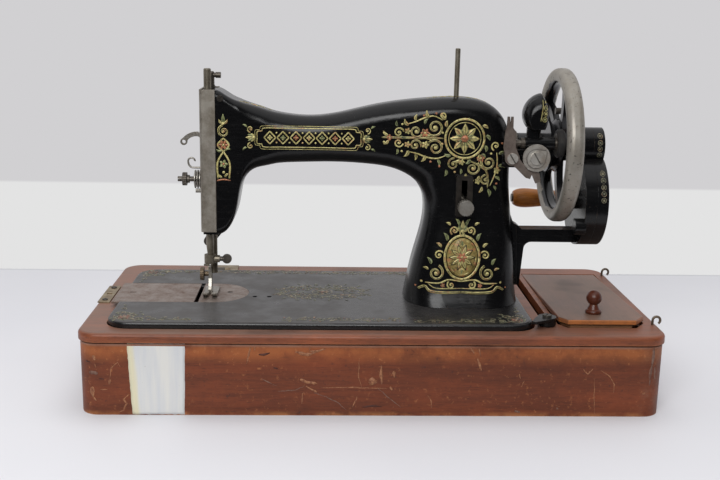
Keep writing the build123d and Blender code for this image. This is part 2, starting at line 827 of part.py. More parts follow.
with BuildPart() as clamp_screw:
    screw_start = needle_x + needle_bar_radius + running
    with BuildSketch(along_x(screw_start, needle_y, clamp_low + clamp_height / 2)):
        Circle(clamp_screw_radius)
    extrude(amount=clamp_boss_length - needle_bar_radius + 4)
    with BuildSketch(
        along_x(needle_x + clamp_boss_length + running, needle_y, clamp_low + clamp_height / 2)
    ):
        Circle(2.2)
    extrude(amount=screw_collar)
    with BuildSketch(along_y(0, needle_y + paddle_thickness / 2, 0)):
        with Locations(
            (
                needle_x + clamp_boss_length + screw_collar + paddle_radius - 0.4,
                clamp_low + clamp_height / 2,
            )
        ):
            Circle(paddle_radius)
    extrude(amount=paddle_thickness)
finish(clamp_screw, "clamp_screw")

# Presser bar, foot and its thumb screw
presser_low = 96.0
presser_high = 255.0
foot_bottom = bed_top + 0.3
foot_shank_low = 84.0
foot_shank_high = 102.0
foot_width = 13.0
toe_front = -28.0
toe_thickness = 2.4
foot_screw_z = 94.5

with BuildPart() as presser_bar:
    with BuildSketch(Plane.XY.offset(presser_low)):
        with Locations((presser_x, presser_y)):
            Circle(presser_bar_radius)
    extrude(amount=presser_high - presser_low)
    # flat for the foot's shank
    with BuildSketch(Plane.XY.offset(presser_low - 1)):
        with Locations((presser_x - presser_bar_radius, presser_y)):
            Rectangle(3.0, 3 * presser_bar_radius)
    extrude(amount=foot_shank_high - presser_low + 1, mode=Mode.SUBTRACT)
finish(presser_bar, "presser_bar")

shank_face = presser_x - presser_bar_radius + 1.5
shank_thickness = 3.0
stem_end = shank_face - shank_thickness - 4.5

with BuildPart() as presser_foot:
    with BuildSketch(along_x(shank_face - shank_thickness, 0, 0)):
        with BuildLine():
            Polyline(
                (presser_y + 4.2, foot_shank_high),
                (presser_y + 4.2, foot_shank_low + 3),
                (presser_y + 1.5, foot_bottom + toe_thickness),
                (presser_y - 9.0, foot_bottom + toe_thickness),
                (presser_y - 4.2, foot_shank_low + 7),
                (presser_y - 4.2, foot_shank_high),
                close=True,
            )
        make_face()
        with Locations((presser_y, foot_screw_z)):
            Circle(clamp_screw_radius + running, mode=Mode.SUBTRACT)
    extrude(amount=shank_thickness)
    with BuildSketch(along_x(needle_x - foot_width / 2, 0, 0)):
        with BuildLine():
            Polyline(
                (presser_y + 3.5, foot_bottom),
                (toe_front + 6.0, foot_bottom),
                (toe_front, foot_bottom + 3.6),
                (toe_front, foot_bottom + 5.2),
                (toe_front + 6.5, foot_bottom + toe_thickness),
                (presser_y + 3.5, foot_bottom + toe_thickness),
                close=True,
            )
        make_face()
    extrude(amount=foot_width)
    # gap between the toes
    with BuildSketch(Plane.XY.offset(foot_bottom - 1)):
        with Locations((needle_x, (toe_front + needle_y) / 2 + 2)):
            SlotOverall(needle_y - toe_front + 8, 3.4, rotation=90)
    extrude(amount=8, mode=Mode.SUBTRACT)
finish(presser_foot, "presser_foot")

with BuildPart() as foot_screw:
    with BuildSketch(along_x(shank_face, presser_y, foot_screw_z)):
        Circle(clamp_screw_radius)
    extrude(amount=-(shank_face - stem_end))
    with BuildSketch(along_x(shank_face - shank_thickness - running, presser_y, foot_screw_z)):
        Circle(2.4)
    extrude(amount=-4.0)
    with BuildSketch(along_x(stem_end, presser_y, foot_screw_z)):
        Circle(6.2)
        with PolarLocations(6.2, 16):
            Circle(0.45, mode=Mode.SUBTRACT)
    extrude(amount=-3.4)
finish(foot_screw, "foot_screw")

# Lifter lever behind the head, on a shouldered pin
lifter_thickness = 3.6
lifter_length = 31.0
lifter_hub = 6.5
lifter_tip = 4.6
lifter_lean = 36.0

with BuildPart() as presser_lifter:
    with BuildSketch(along_y(lifter_x, head_back + loose + lifter_thickness, lifter_z)):
        Circle(lifter_hub)
        with PolarLocations(lifter_length, 1, start_angle=-90 - lifter_lean):
            Circle(lifter_tip)
        make_hull()
        Circle(lifter_pin_radius + running, mode=Mode.SUBTRACT)
    extrude(amount=lifter_thickness)
finish(presser_lifter, "presser_lifter")

# Screw with a cross bar on top of the head that sets the foot's pressure
cross_z = 281.0
pressure_radius = 2.8
cross_radius = 2.1

with BuildPart() as pressure_screw:
    with BuildSketch(Plane.XY.offset(presser_high + presser_lift + 1.0)):
        with Locations((presser_x, presser_y)):
            Circle(presser_bar_radius)
    extrude(amount=head_top + 2.0 - presser_high - presser_lift - 1.0)
    with BuildSketch(Plane.XY.offset(head_top + 2.0)):
        with Locations((presser_x, presser_y)):
            Circle(pressure_radius)
    extrude(amount=cross_z + 3.4 - head_top - 2.0)
    with BuildSketch(along_x(presser_x - 6.5, presser_y, cross_z)):
        Circle(cross_radius)
    extrude(amount=12.5)
    with BuildSketch(along_x(presser_x + 4.0, presser_y, cross_z)):
        Circle(cross_radius + 0.6)
    extrude(amount=4.6)
    fillet(pressure_screw.edges().group_by(Axis.Z)[-1], radius=1.6)
finish(pressure_screw, "pressure_screw")

# Take-up lever: a curved arm from its pivot in the head to the thread eye
lever_pivot_x = -134.5
lever_pivot_z = 200.0
lever_pivot_radius = 2.2
eye_tip_x = -172.6
eye_tip_z = 221.3

with BuildPart() as take_up_lever:
    with BuildSketch(along_y(0, lever_y + lever_thickness / 2, 0)):
        with BuildLine():
            ThreePointArc((-137.5, 203.5), (-149.5, 224.0), (-160.0, 230.4))
            ThreePointArc((-160.0, 230.4), (-167.0, 229.2), (eye_tip_x - 1.2, 224.2))
            Line((eye_tip_x - 1.2, 224.2), (eye_tip_x + 1.5, 219.3))
            ThreePointArc((eye_tip_x + 1.5, 219.3), (-165.0, 225.6), (-159.5, 226.2))
            ThreePointArc((-159.5, 226.2), (-150.0, 217.0), (-139.0, 197.5))
            Line((-139.0, 197.5), (-137.5, 203.5))
        make_face()
        with Locations((lever_pivot_x, lever_pivot_z)):
            Circle(5.0)
        with Locations((eye_tip_x, eye_tip_z)):
            Circle(3.2)
            Circle(1.7, mode=Mode.SUBTRACT)
        with Locations((lever_pivot_x, lever_pivot_z)):
            Circle(lever_pivot_radius + running, mode=Mode.SUBTRACT)
    extrude(amount=lever_thickness)
finish(take_up_lever, "take_up_lever")

# Tension on the face plate: stud, two dished discs, spring and thumb nut
stud_end = -177.0
stud_reach = 0.5
nut_left = -172.6
nut_width = 6.2
disc_radius = 8.3
spring_left = nut_left + nut_width + 0.2
disc_left = -162.6

with BuildPart() as tension_stud:
    with BuildSketch(along_x(cover_inside + stud_reach, tension_y, tension_z)):
        Circle(stud_radius)
    extrude(amount=-(cover_inside + stud_reach - stud_end))
    with BuildSketch(along_x(stud_end, tension_y, tension_z)):
        Rectangle(3 * stud_radius, 0.9)
    extrude(amount=3.0, mode=Mode.SUBTRACT)
finish(tension_stud, "tension_stud")

disc_pairs = 3
disc_pitch = (cover_left - loose - disc_left) / disc_pairs

with BuildPart() as tension_discs:
    for i in range(disc_pairs):
        x = disc_left + i * disc_pitch
        with BuildSketch(Plane(origin=(x, tension_y, tension_z), x_dir=(1, 0, 0), z_dir=(0, -1, 0))):
            with BuildLine():
                Polyline(
                    (0.35, stud_radius + running),
                    (1.2, stud_radius + running),
                    (1.2, disc_radius * 0.6),
                    (1.9, disc_radius),
                    (1.1, disc_radius),
                    (0.35, disc_radius * 0.6),
                    close=True,
                )
            make_face()
        revolve(axis=Axis((x, tension_y, tension_z), (1, 0, 0)))
finish(tension_discs, "tension_discs")

spring_wire = 0.45
spring_turns = 3
spring_right = disc_left + 0.35 - spring_wire - 0.02
spring_coil = 4.6

with BuildPart() as tension_nut:
    with BuildSketch(along_x(nut_left, tension_y, tension_z)):
        Circle(6.0)
        with PolarLocations(6.0, 18):
            Circle(0.45, mode=Mode.SUBTRACT)
    extrude(amount=nut_width * 0.62)
    with BuildSketch(along_x(nut_left + nut_width * 0.62, tension_y, tension_z)):
        Circle(3.6)
    extrude(amount=nut_width * 0.38)
    with BuildSketch(along_x(nut_left - 1, tension_y, tension_z)):
        Circle(stud_radius + running)
    extrude(amount=nut_width + 2, mode=Mode.SUBTRACT)
finish(tension_nut, "tension_nut")

# Flat wire hook above the discs that leads the thread
with BuildPart() as thread_hook:
    with BuildLine(along_y(0, tension_y, 0)):
        hook_foot = Line((cover_left, 199.4), (-162.5, 199.4))
        hook_up = ThreePointArc(hook_foot @ 1, (-166.0, 200.8), (-167.3, 204.2))
        ThreePointArc(hook_up @ 1, (-164.6, 208.2), (-161.4, 205.4))
    with BuildSketch(Plane(origin=hook_foot @ 0, z_dir=hook_foot % 0)):
        Circle(0.9)
    sweep()
    # guard below the discs
    with BuildSketch(along_x(cover_left, tension_y, tension_z - 10.6)):
        RectangleRounded(5.0, 3.4, 1.2)
    extrude(amount=-5.5)
finish(thread_hook, "thread_hook")

# Stitch length plate, lever and knob on the pillar
stitch_plate_thickness = 1.2
stitch_knob_y = -56.5
stitch_knob_width = 7.0
stitch_arm_radius = 2.2
stitch_knob_radius = 7.0

with BuildPart() as stitch_plate:
    with BuildSketch(along_y(stitch_x, stitch_boss_y, (stitch_plate_low + stitch_plate_high) / 2)):
        RectangleRounded(stitch_plate_width, stitch_plate_high - stitch_plate_low, 2.0)
    extrude(amount=stitch_plate_thickness)
    with BuildSketch(along_y(stitch_x, stitch_boss_y, (stitch_slot_low + stitch_slot_high) / 2)):
        Rectangle(5.2, stitch_slot_high - stitch_slot_low, mode=Mode.ADD)
    extrude(amount=stitch_plate_thickness, mode=Mode.SUBTRACT)
finish(stitch_plate, "stitch_plate")

with BuildPart() as stitch_lever:
    with BuildSketch(along_x(stitch_x - 4, pivot_y, pivot_z)):
        Circle(pivot_radius + 2)
    extrude(amount=8)
    with BuildSketch(along_y(stitch_x, pivot_y, pivot_z)):
        Circle(stitch_arm_radius)
    extrude(amount=pivot_y - stitch_knob_y - 1)
    with BuildSketch(along_y(stitch_x, stitch_knob_y + stitch_knob_width, pivot_z)):
        Circle(stitch_knob_radius)
        with PolarLocations(stitch_knob_radius, 20):
            Circle(0.5, mode=Mode.SUBTRACT)
    extrude(amount=stitch_knob_width)
    with BuildSketch(along_x(stitch_x - 5, pivot_y, pivot_z)):
        Circle(pivot_radius + running)
    extrude(amount=10, mode=Mode.SUBTRACT)
finish(stitch_lever, "stitch_lever")

# Spool pin, pressed into the arm
spool_top = 309.0

with BuildPart() as spool_pin:
    with BuildSketch(Plane.XY.offset(spool_seat)):
        with Locations((spool_x, shaft_y)):
            Circle(spool_shank)
    extrude(amount=spool_shoulder - spool_seat)
    with BuildSketch(Plane.XY.offset(spool_shoulder)):
        with Locations((spool_x, shaft_y)):
            Circle(spool_radius)
    extrude(amount=spool_top - spool_shoulder)
    chamfer(spool_pin.edges().group_by(Axis.Z)[-1], length=0.6)
finish(spool_pin, "spool_pin")

# Main shaft with the crank disc that works the needle bar, and its bushings
shaft_left = -133.0
shaft_right = 183.0
crank_disc_radius = 10.0
crank_disc_width = 6.0
left_bushing = (-124.0, 18.0)
right_bushing = (100.0, 26.0)
flange_radius = 13.0
flange_left = 124.2
flange_right = 130.0

with BuildPart() as main_shaft:
    with BuildSketch(along_x(shaft_left, shaft_y, shaft_z)):
        Circle(shaft_radius)
    extrude(amount=shaft_right - shaft_left)
    with BuildSketch(along_x(shaft_left, shaft_y, shaft_z)):
        Circle(crank_disc_radius)
    extrude(amount=-crank_disc_width)
    chamfer(main_shaft.edges().group_by(Axis.X)[-1], length=0.8)
finish(main_shaft, "main_shaft")

with BuildPart() as shaft_bushings:
    for left, length in (left_bushing, right_bushing):
        with BuildSketch(along_x(left, shaft_y, shaft_z)):
            Circle(shaft_bore)
        extrude(amount=length)
    with BuildSketch(along_x(flange_left, shaft_y, shaft_z)):
        Circle(flange_radius)
    extrude(amount=flange_right - flange_left)
    with BuildSketch(along_x(left_bushing[0], shaft_y, shaft_z)):
        Circle(shaft_radius + running)
    extrude(amount=flange_right - left_bushing[0], mode=Mode.SUBTRACT)
finish(shaft_bushings, "shaft_bushings")

# Handwheel: hub, belt groove, five curved spokes and the rim, cast in one
wheel_hub_left = 131.5
wheel_hub_radius = 11.0
belt_left = 158.0
belt_right = 168.5
belt_radius = 24.0
belt_groove = 4.0
wheel_boss_radius = 14.0
wheel_boss_right = 179.5
spoke_left = 168.0
spoke_thickness = 6.0
spoke_count = 5
spoke_start = 30.0
rim_round = 5.6
rim_inside = wheel_radius - rim_height

with BuildSketch() as spoke:
    with BuildLine():
        ThreePointArc((8, 5.5), (33, 12.0), (rim_inside + 1.5, 6.5))
        Line((rim_inside + 1.5, 6.5), (rim_inside + 1.5, -3.5))
        ThreePointArc((rim_inside + 1.5, -3.5), (33, 3.5), (8, -5.5))
        Line((8, -5.5), (8, 5.5))
    make_face()

with BuildPart() as handwheel:
    with BuildSketch(along_x(spoke_left, shaft_y, shaft_z)):
        with PolarLocations(0, spoke_count, start_angle=spoke_start):
            add(spoke.sketch)
    extrude(amount=spoke_thickness)
    with BuildSketch(along_y(0, shaft_y, shaft_z)):
        with BuildLine():
            Polyline(
                (wheel_hub_left, shaft_radius),
                (wheel_hub_left, wheel_hub_radius),
                (belt_left, wheel_hub_radius),
                (belt_left, belt_radius),
                (belt_left + 2.0, belt_radius),
                ((belt_left + belt_right) / 2, belt_radius - belt_groove),
                (belt_right - 2.0, belt_radius),
                (belt_right, belt_radius),
                (belt_right, wheel_boss_radius),
                (wheel_boss_right, wheel_boss_radius),
                (wheel_boss_right, shaft_radius),
                close=True,
            )
        make_face()
    revolve(axis=Axis((0, shaft_y, shaft_z), (1, 0, 0)))
    with BuildSketch(along_y(wheel_x, shaft_y, shaft_z)):
        with Locations((0, wheel_radius - rim_height / 2)):
            RectangleRounded(rim_width, rim_height, rim_round)
    revolve(axis=Axis((0, shaft_y, shaft_z), (1, 0, 0)))
finish(handwheel, "handwheel")

nut_radius = 12.0
nut_thickness = 3.0
clutch_left = wheel_boss_right + loose

with BuildPart() as clutch_nut:
    with BuildSketch(along_x(clutch_left, shaft_y, shaft_z)):
        Circle(nut_radius)
        with PolarLocations(nut_radius, 24):
            Circle(0.6, mode=Mode.SUBTRACT)
        Circle(shaft_radius + running, mode=Mode.SUBTRACT)
    extrude(amount=nut_thickness)
finish(clutch_nut, "clutch_nut")

# Hand crank: its gears turn the wheel three times for each turn of the crank
pressure_angle = radians(20)
tooth_thinning = 0.35
tooth_height = 0.88
tooth_root = 1.2


def gear_outline(teeth, turn):
    """Corner points of a spur gear with thinned involute teeth."""
    pitch = tooth_module * teeth / 2
    base = pitch * cos(pressure_angle)
    half = pi / (2 * teeth) - tooth_thinning / (2 * pitch)
    radii = [pitch - tooth_root * tooth_module, pitch, pitch + tooth_height * tooth_module]
    if base > radii[0]:
        radii.insert(1, base)
    spread = tan(pressure_angle) - pressure_angle
    flank = []
    for radius in radii:
        angle = acos(base / max(radius, base))
        flank.append((radius, half + spread - (tan(angle) - angle)))
    points = []
    for i in range(teeth):
        middle = radians(turn) + 2 * pi * i / teeth
        points += [(r * cos(middle - a), r * sin(middle - a)) for r, a in flank]
        points += [(r * cos(middle + a), r * sin(middle + a)) for r, a in reversed(flank)]
    return points


gear_left = 194.0
crank_shaft_radius = 5.0
housing_left = 188.5
housing_split = 199.0
housing_right = 209.0
housing_wall = 2.0
gear_lobe = 42.0
pinion_lobe = 17.0
lobe_fillet = 6.0
boss_radius = 9.0
boss_left = 182.0
boss_gap = 0.4

with BuildPart() as large_gear:
    with BuildSketch(along_x(gear_left, shaft_y, gear_z)):
        with BuildLine():
            Polyline(*gear_outline(gear_teeth, 0), close=True)
        make_face()
        Circle(crank_shaft_radius, mode=Mode.SUBTRACT)
        with PolarLocations(22.0, 4):
            Circle(7.0, mode=Mode.SUBTRACT)
    extrude(amount=gear_width)
finish(large_gear, "large_gear")

finger_left = 184.2
finger_width = 3.8
finger_reach = 33.0
finger_angle = spoke_start + 180.0 / spoke_count
peg_radius = 3.0
peg_end = 168.5
pinion_end = 206.6

with BuildPart() as drive_pinion:
    with BuildSketch(along_x(gear_left, shaft_y, shaft_z)):
        with BuildLine():
            Polyline(*gear_outline(pinion_teeth, 180 / pinion_teeth), close=True)
        make_face()
    extrude(amount=gear_width)
    with BuildSketch(along_x(finger_left, shaft_y, shaft_z)):
        Circle(crank_shaft_radius)
    extrude(amount=pinion_end - finger_left)
    with BuildSketch(along_x(finger_left, shaft_y, shaft_z)):
        Circle(boss_radius)
        with Locations(Location((0, 0), finger_angle)):
            with Locations((finger_reach / 2, 0)):
                SlotOverall(finger_reach + 10, 10)
    extrude(amount=finger_width)
    with BuildSketch(along_x(finger_left + finger_width / 2, shaft_y, shaft_z)):
        with PolarLocations(finger_reach, 1, start_angle=finger_angle):
            Circle(peg_radius)
    extrude(amount=peg_end - finger_left - finger_width / 2)
finish(drive_pinion, "drive_pinion")


def housing_outline(inset):
    """Outline of the gear housing about the crank's axis: two lobes and their neck."""
    Circle(gear_lobe - inset)
    with Locations((0, gear_distance)):
        Circle(pinion_lobe - inset)


bar_top = gear_z - 27.5
bar_low = bar_top - 12.0
bar_half = 8.0
foot_half = 13.0
foot_low = bar_low - 41.5
foot_high = bar_top + 14.0
foot_left = 115.0
foot_right = 142.0
foot_step = 6.0
bar_flare = 7.0
screw_boss_radius = 7.3
screw_boss_y = -33.0
screw_boss_z = -19.0

with BuildPart() as crank_bracket:
    with BuildSketch(along_y(0, shaft_y + bar_half, 0)) as bar_face:
        with BuildLine():
            Polyline(
                (foot_left, foot_high),
                (foot_right - 2.4 * foot_step, foot_high),
                (foot_right - 1.9 * foot_step, bar_top + foot_step),
                (foot_right - foot_step, bar_top + foot_step / 2),
                (foot_right - foot_step / 2, bar_top),
                (housing_left + 1, bar_top),
                (housing_left + 1, bar_low),
                (foot_right, bar_low),
                (foot_right - foot_step / 2, foot_low),
                (foot_left, foot_low),
                close=True,
            )
        make_face()
        inner = bar_face.vertices().filter_by_position(Axis.X, foot_right - 0.5, foot_right + 0.5)
        fillet(inner.filter_by_position(Axis.Y, bar_low - 1, bar_low + 1), radius=bar_flare)
    extrude(amount=2 * bar_half)
    with BuildSketch(along_y(0, shaft_y + foot_half, 0)):
        with BuildLine():
            Polyline(
                (foot_left, foot_high - 2),
                (foot_right - 2.5 * foot_step, foot_high - 2),
                (foot_right - 1.5 * foot_step, bar_top + 2),
                (foot_right - foot_step, foot_low + 2),
                (foot_left, foot_low + 2),
                close=True,
            )
        make_face()
    extrude(amount=2 * foot_half)
    with BuildSketch(along_x(housing_left, shaft_y, gear_z)):
        housing_outline(0)
    extrude(amount=housing_split - housing_left)
    with BuildSketch(along_x(housing_left + housing_wall, shaft_y, gear_z)):
        housing_outline(housing_wall)
    extrude(amount=housing_split - housing_left, mode=Mode.SUBTRACT)
    # bearing bosses and the round screw boss at the front
    with BuildSketch(along_x(boss_left, shaft_y, gear_z)):
        Circle(boss_radius)
    extrude(amount=gear_left - boss_gap - boss_left)
    with BuildSketch(along_x(housing_left, shaft_y, shaft_z)):
        Circle(boss_radius)
    extrude(amount=gear_left - boss_gap - housing_left)
    with BuildSketch(along_x(boss_left - 1, shaft_y, gear_z)):
        with Locations((screw_boss_y, screw_boss_z)):
            Circle(screw_boss_radius)
    extrude(amount=housing_left + housing_wall - boss_left + 1)
    for z in (gear_z, shaft_z):
        with BuildSketch(along_x(boss_left - 1, shaft_y, z)):
            Circle(crank_shaft_radius + running)
        extrude(amount=housing_split - boss_left, mode=Mode.SUBTRACT)
    add(arm.part, mode=Mode.SUBTRACT)
finish(crank_bracket, "crank_bracket")

cover_boss_left = gear_left + gear_width + boss_gap

with BuildPart() as gear_cover:
    with BuildSketch(along_x(housing_split, shaft_y, gear_z)):
        housing_outline(0)
    extrude(amount=housing_right - housing_split)
    with BuildSketch(along_x(housing_split - 1, shaft_y, gear_z)):
        housing_outline(housing_wall)
    extrude(amount=housing_right - housing_wall - housing_split + 1, mode=Mode.SUBTRACT)
    for z in (gear_z, shaft_z):
        with BuildSketch(along_x(cover_boss_left, shaft_y, z)):
            Circle(boss_radius)
        extrude(amount=housing_right - cover_boss_left)
    with BuildSketch(along_x(housing_split, shaft_y, gear_z)):
        Circle(crank_shaft_radius + running)
    extrude(amount=housing_right - housing_split + 1, mode=Mode.SUBTRACT)
    with BuildSketch(along_x(housing_split, shaft_y, shaft_z)):
        Circle(crank_shaft_radius + running)
    extrude(amount=pinion_end + running - housing_split, mode=Mode.SUBTRACT)
finish(gear_cover, "gear_cover")

# Crank arm on its shaft, with a fork for the folding handle
crank_left = 210.0
crank_thickness = 6.0
crank_hub = 9.0
fork_left = 208.0
fork_width = 10.0
fork_length = 15.0
fork_height = 14.0
fork_slot = 7.6
knuckle_round = 5.0
knuckle_width = 7.0
fold_pin_radius = 2.0
fold_x = fork_left + fork_width / 2
crank_way = (0, cos(radians(crank_droop)), -sin(radians(crank_droop)))


def crank_plane(x):
    """Plane facing +X at the crank's axis, its own x along the crank arm."""
    return Plane(origin=(x, shaft_y, gear_z), x_dir=crank_way, z_dir=(1, 0, 0))


def fold_plane(shift):
    """Plane square to the fold pin, its own x along the crank arm and z along the pin."""
    pin_way = (0, sin(radians(crank_droop)), cos(radians(crank_droop)))
    middle = [a + crank_radius * b for a, b in zip((fold_x, shaft_y, gear_z), crank_way)]
    middle = [a + shift * b for a, b in zip(middle, pin_way)]
    return Plane(origin=middle, x_dir=crank_way, z_dir=pin_way)


with BuildPart() as crank_arm:
    with BuildSketch(crank_plane(crank_left)):
        Circle(crank_hub)
        with BuildLine():
            Polyline(
                (0, -8), (crank_radius - 5, -5.5), (crank_radius - 5, 5.5), (0, 8), close=True
            )
        make_face()
    extrude(amount=crank_thickness)
    with BuildSketch(crank_plane(fork_left)):
        with Locations((crank_radius - 1, 0)):
            RectangleRounded(fork_length, fork_height, 2.5)
    extrude(amount=fork_width)
    with BuildSketch(crank_plane(fork_left - 1)):
        with Locations((crank_radius + fork_length / 2, 0)):
            Rectangle(2 * knuckle_round + 2.6 + fork_length, fork_slot)
    extrude(amount=fork_width + 2, mode=Mode.SUBTRACT)
    with BuildSketch(fold_plane(-fork_height / 2 + 1)):
        Circle(fold_pin_radius)
    extrude(amount=fork_height - 2)
    with BuildSketch(along_x(boss_left, shaft_y, gear_z)):
        Circle(crank_shaft_radius)
    extrude(amount=crank_left - boss_left + 1)
finish(crank_arm, "crank_arm")

spindle_radius = 2.5
grip_right = 203.2
grip_left = grip_right - grip_length
rivet_radius = 4.0

with BuildPart() as crank_spindle:
    with BuildSketch(fold_plane(-knuckle_width / 2)):
        Circle(knuckle_round)
    extrude(amount=knuckle_width)
    grip_centre = fold_plane(0).origin
    for left, right, radius in (
        (grip_left - running, fold_x - fold_pin_radius - 1, spindle_radius),
        (grip_right + running, grip_right + 0.85, 5.0),
        (grip_left - 1.6, grip_left - running, rivet_radius),
    ):
        with BuildSketch(along_x(left, grip_centre.Y, grip_centre.Z)):
            Circle(radius)
        extrude(amount=right - left)
    with BuildSketch(fold_plane(-knuckle_width)):
        Circle(fold_pin_radius + running)
    extrude(amount=2 * knuckle_width, mode=Mode.SUBTRACT)
finish(crank_spindle, "crank_spindle")

grip_small = 6.3
grip_widest = grip_left + 0.42 * grip_length

with BuildPart() as crank_grip:
    with BuildSketch(along_y(0, grip_centre.Y, grip_centre.Z)):
        with BuildLine():
            Line((grip_left, spindle_radius + running), (grip_left, grip_small))
            Spline(
                (grip_left, grip_small),
                (grip_widest, grip_radius),
                (grip_right, grip_small),
                tangents=((0.5, 0.5), (0.9, -0.12)),
            )
            Line((grip_right, grip_small), (grip_right, spindle_radius + running))
            Line(
                (grip_right, spindle_radius + running), (grip_left, spindle_radius + running)
            )
        make_face()
    revolve(axis=Axis((0, grip_centre.Y, grip_centre.Z), (1, 0, 0)))
finish(crank_grip, "crank_grip")

# Bobbin winder: a bracket on the pillar, the tilting frame, spindle, cam and guide
winder_pivot_y = -31.0
winder_pivot_z = 212.0
winder_pivot_radius = 3.0
bracket_left = 114.0
bracket_right = 133.0
frame_left = bracket_right + 0.4
frame_right = 147.5
barrel_left = 131.0
barrel_right = 157.0
barrel_radius = 5.7
ear_radius = 7.0
web_front = -47.0
web_back = -42.5
web_low = 209.0
web_high = 223.0
web_left = 114.0
web_right = 151.0
worm_radius = 8.7
worm_front = -55.0
worm_back = -50.5
cam_front = -58.5
cam_back = -56.0
cam_heart = 1.3
guide_x = 120.0
guide_z = 216.4
guide_radius = 6.4
guide_front = -55.5
guide_back = -53.5
stud_pin_radius = 2.2

with BuildPart() as winder_bracket:
    with BuildSketch(along_x(bracket_left, winder_pivot_y, winder_pivot_z)):
        Circle(ear_radius)
        with Locations((5, 0)):
            Rectangle(10, 2 * ear_radius)
        Circle(winder_pivot_radius + running, mode=Mode.SUBTRACT)
    extrude(amount=bracket_right - bracket_left)
    with BuildSketch(along_x(flange_left - 2, shaft_y, shaft_z)):
        Circle(flange_radius + 1)
    extrude(amount=bracket_right - flange_left + 3, mode=Mode.SUBTRACT)
    add(arm.part, mode=Mode.SUBTRACT)
finish(winder_bracket, "winder_bracket")

with BuildPart() as winder_frame:
    with BuildSketch(along_x(frame_left, 0, 0)):
        with Locations((winder_pivot_y, winder_pivot_z)):
            Circle(ear_radius)
        with BuildLine():
            Polyline(
                (winder_pivot_y + 4.5, winder_pivot_z + 5.4),
                (winder_y + 2, winder_z + 4),
                (web_front, winder_z),
                (web_front, web_low + 2),
                (winder_pivot_y - 1, winder_pivot_z - ear_radius),
                close=True,
            )
        make_face()
        with Locations((winder_pivot_y, winder_pivot_z)):
            Circle(winder_pivot_radius, mode=Mode.SUBTRACT)
    extrude(amount=frame_right - frame_left)
    with BuildSketch(along_x(barrel_left, winder_y, winder_z)):
        Circle(barrel_radius)
    extrude(amount=barrel_right - barrel_left)
    with BuildSketch(along_y(0, web_back, 0)):
        with Locations(((web_left + web_right) / 2, (web_low + web_high) / 2)):
            RectangleRounded(web_right - web_left, web_high - web_low, 4.0)
    extrude(amount=web_back - web_front)
    # mast that carries the belt guard
    with BuildSketch(Plane.XY.offset(winder_z)):
        with Locations((barrel_left + 7, winder_y)):
            RectangleRounded(11, 8, 2.0)
    extrude(amount=13)
    with BuildSketch(along_y(guide_x, web_back, guide_z)):
        Circle(4.6)
    extrude(amount=web_back - guide_back - 0.25)
    # pocket of the worm wheel, and the holes
    with BuildSketch(along_y(cam_x, worm_back + 0.4, cam_z)):
        Circle(worm_radius + 0.5)
    extrude(amount=20, mode=Mode.SUBTRACT)
    with BuildSketch(along_x(barrel_left - 5, winder_y, winder_z)):
        Circle(winder_shaft_radius + running)
    extrude(amount=barrel_right - barrel_left + 10, mode=Mode.SUBTRACT)
    for x, z in ((cam_x, cam_z), (guide_x, guide_z)):
        with BuildSketch(along_y(x, web_back - 1, z)):
            Circle(stud_pin_radius)
        extrude(amount=20, mode=Mode.SUBTRACT)
finish(winder_frame, "winder_frame")

with BuildPart() as winder_screws:
    with BuildSketch(along_x(bracket_right - 8, winder_pivot_y, winder_pivot_z)):
        Circle(winder_pivot_radius)
    extrude(amount=frame_right - bracket_right + 8)
    for plane, radius, height in (
        (along_x(frame_right, winder_pivot_y, winder_pivot_z), 5.0, 2.0),
        (along_y(cam_x, cam_front - cam_heart - running, cam_z), 5.8, 1.6),
        (along_y(guide_x, guide_front - running, guide_z), 4.8, 1.8),
    ):
        with BuildSketch(plane):
            Circle(radius)
        extrude(amount=height)
        with BuildSketch(plane.offset(height / 2)):
            Rectangle(3 * radius, 1.2, rotation=-58)
        extrude(amount=height, mode=Mode.SUBTRACT)
    for x, z, front in ((cam_x, cam_z, cam_front - cam_heart), (guide_x, guide_z, guide_front)):
        with BuildSketch(along_y(x, web_back - 1, z)):
            Circle(stud_pin_radius)
        extrude(amount=web_back - 1 - front + running)
finish(winder_screws, "winder_screws")

tire_radius = 12.5
tire_left = 158.5
tire_right = 165.5
spindle_left = 117.0
spindle_right = 166.6
collar_radius = 4.6

with BuildPart() as winder_spindle:
    with BuildSketch(along_y(0, winder_y, winder_z)):
        with BuildLine():
            Polyline(
                (spindle_left, 0),
                (spindle_left, winder_shaft_radius),
                (barrel_left - 3.5, winder_shaft_radius),
                (barrel_left - 3.5, collar_radius),
                (barrel_left - 0.2, collar_radius),
                (barrel_left - 0.2, winder_shaft_radius),
                (barrel_right + 0.2, winder_shaft_radius),
                (barrel_right + 0.2, collar_radius),
                (tire_left, collar_radius),
                (tire_left, tire_radius - 1.5),
                (tire_left + 1.5, tire_radius),
                (tire_right - 1.5, tire_radius),
                (tire_right, tire_radius - 1.5),
                (tire_right, collar_radius),
                (spindle_right, collar_radius),
                (spindle_right, 0),
                close=True,
            )
        make_face()
    revolve(axis=Axis((0, winder_y, winder_z), (1, 0, 0)))
finish(winder_spindle, "winder_spindle")

worm_teeth = 24

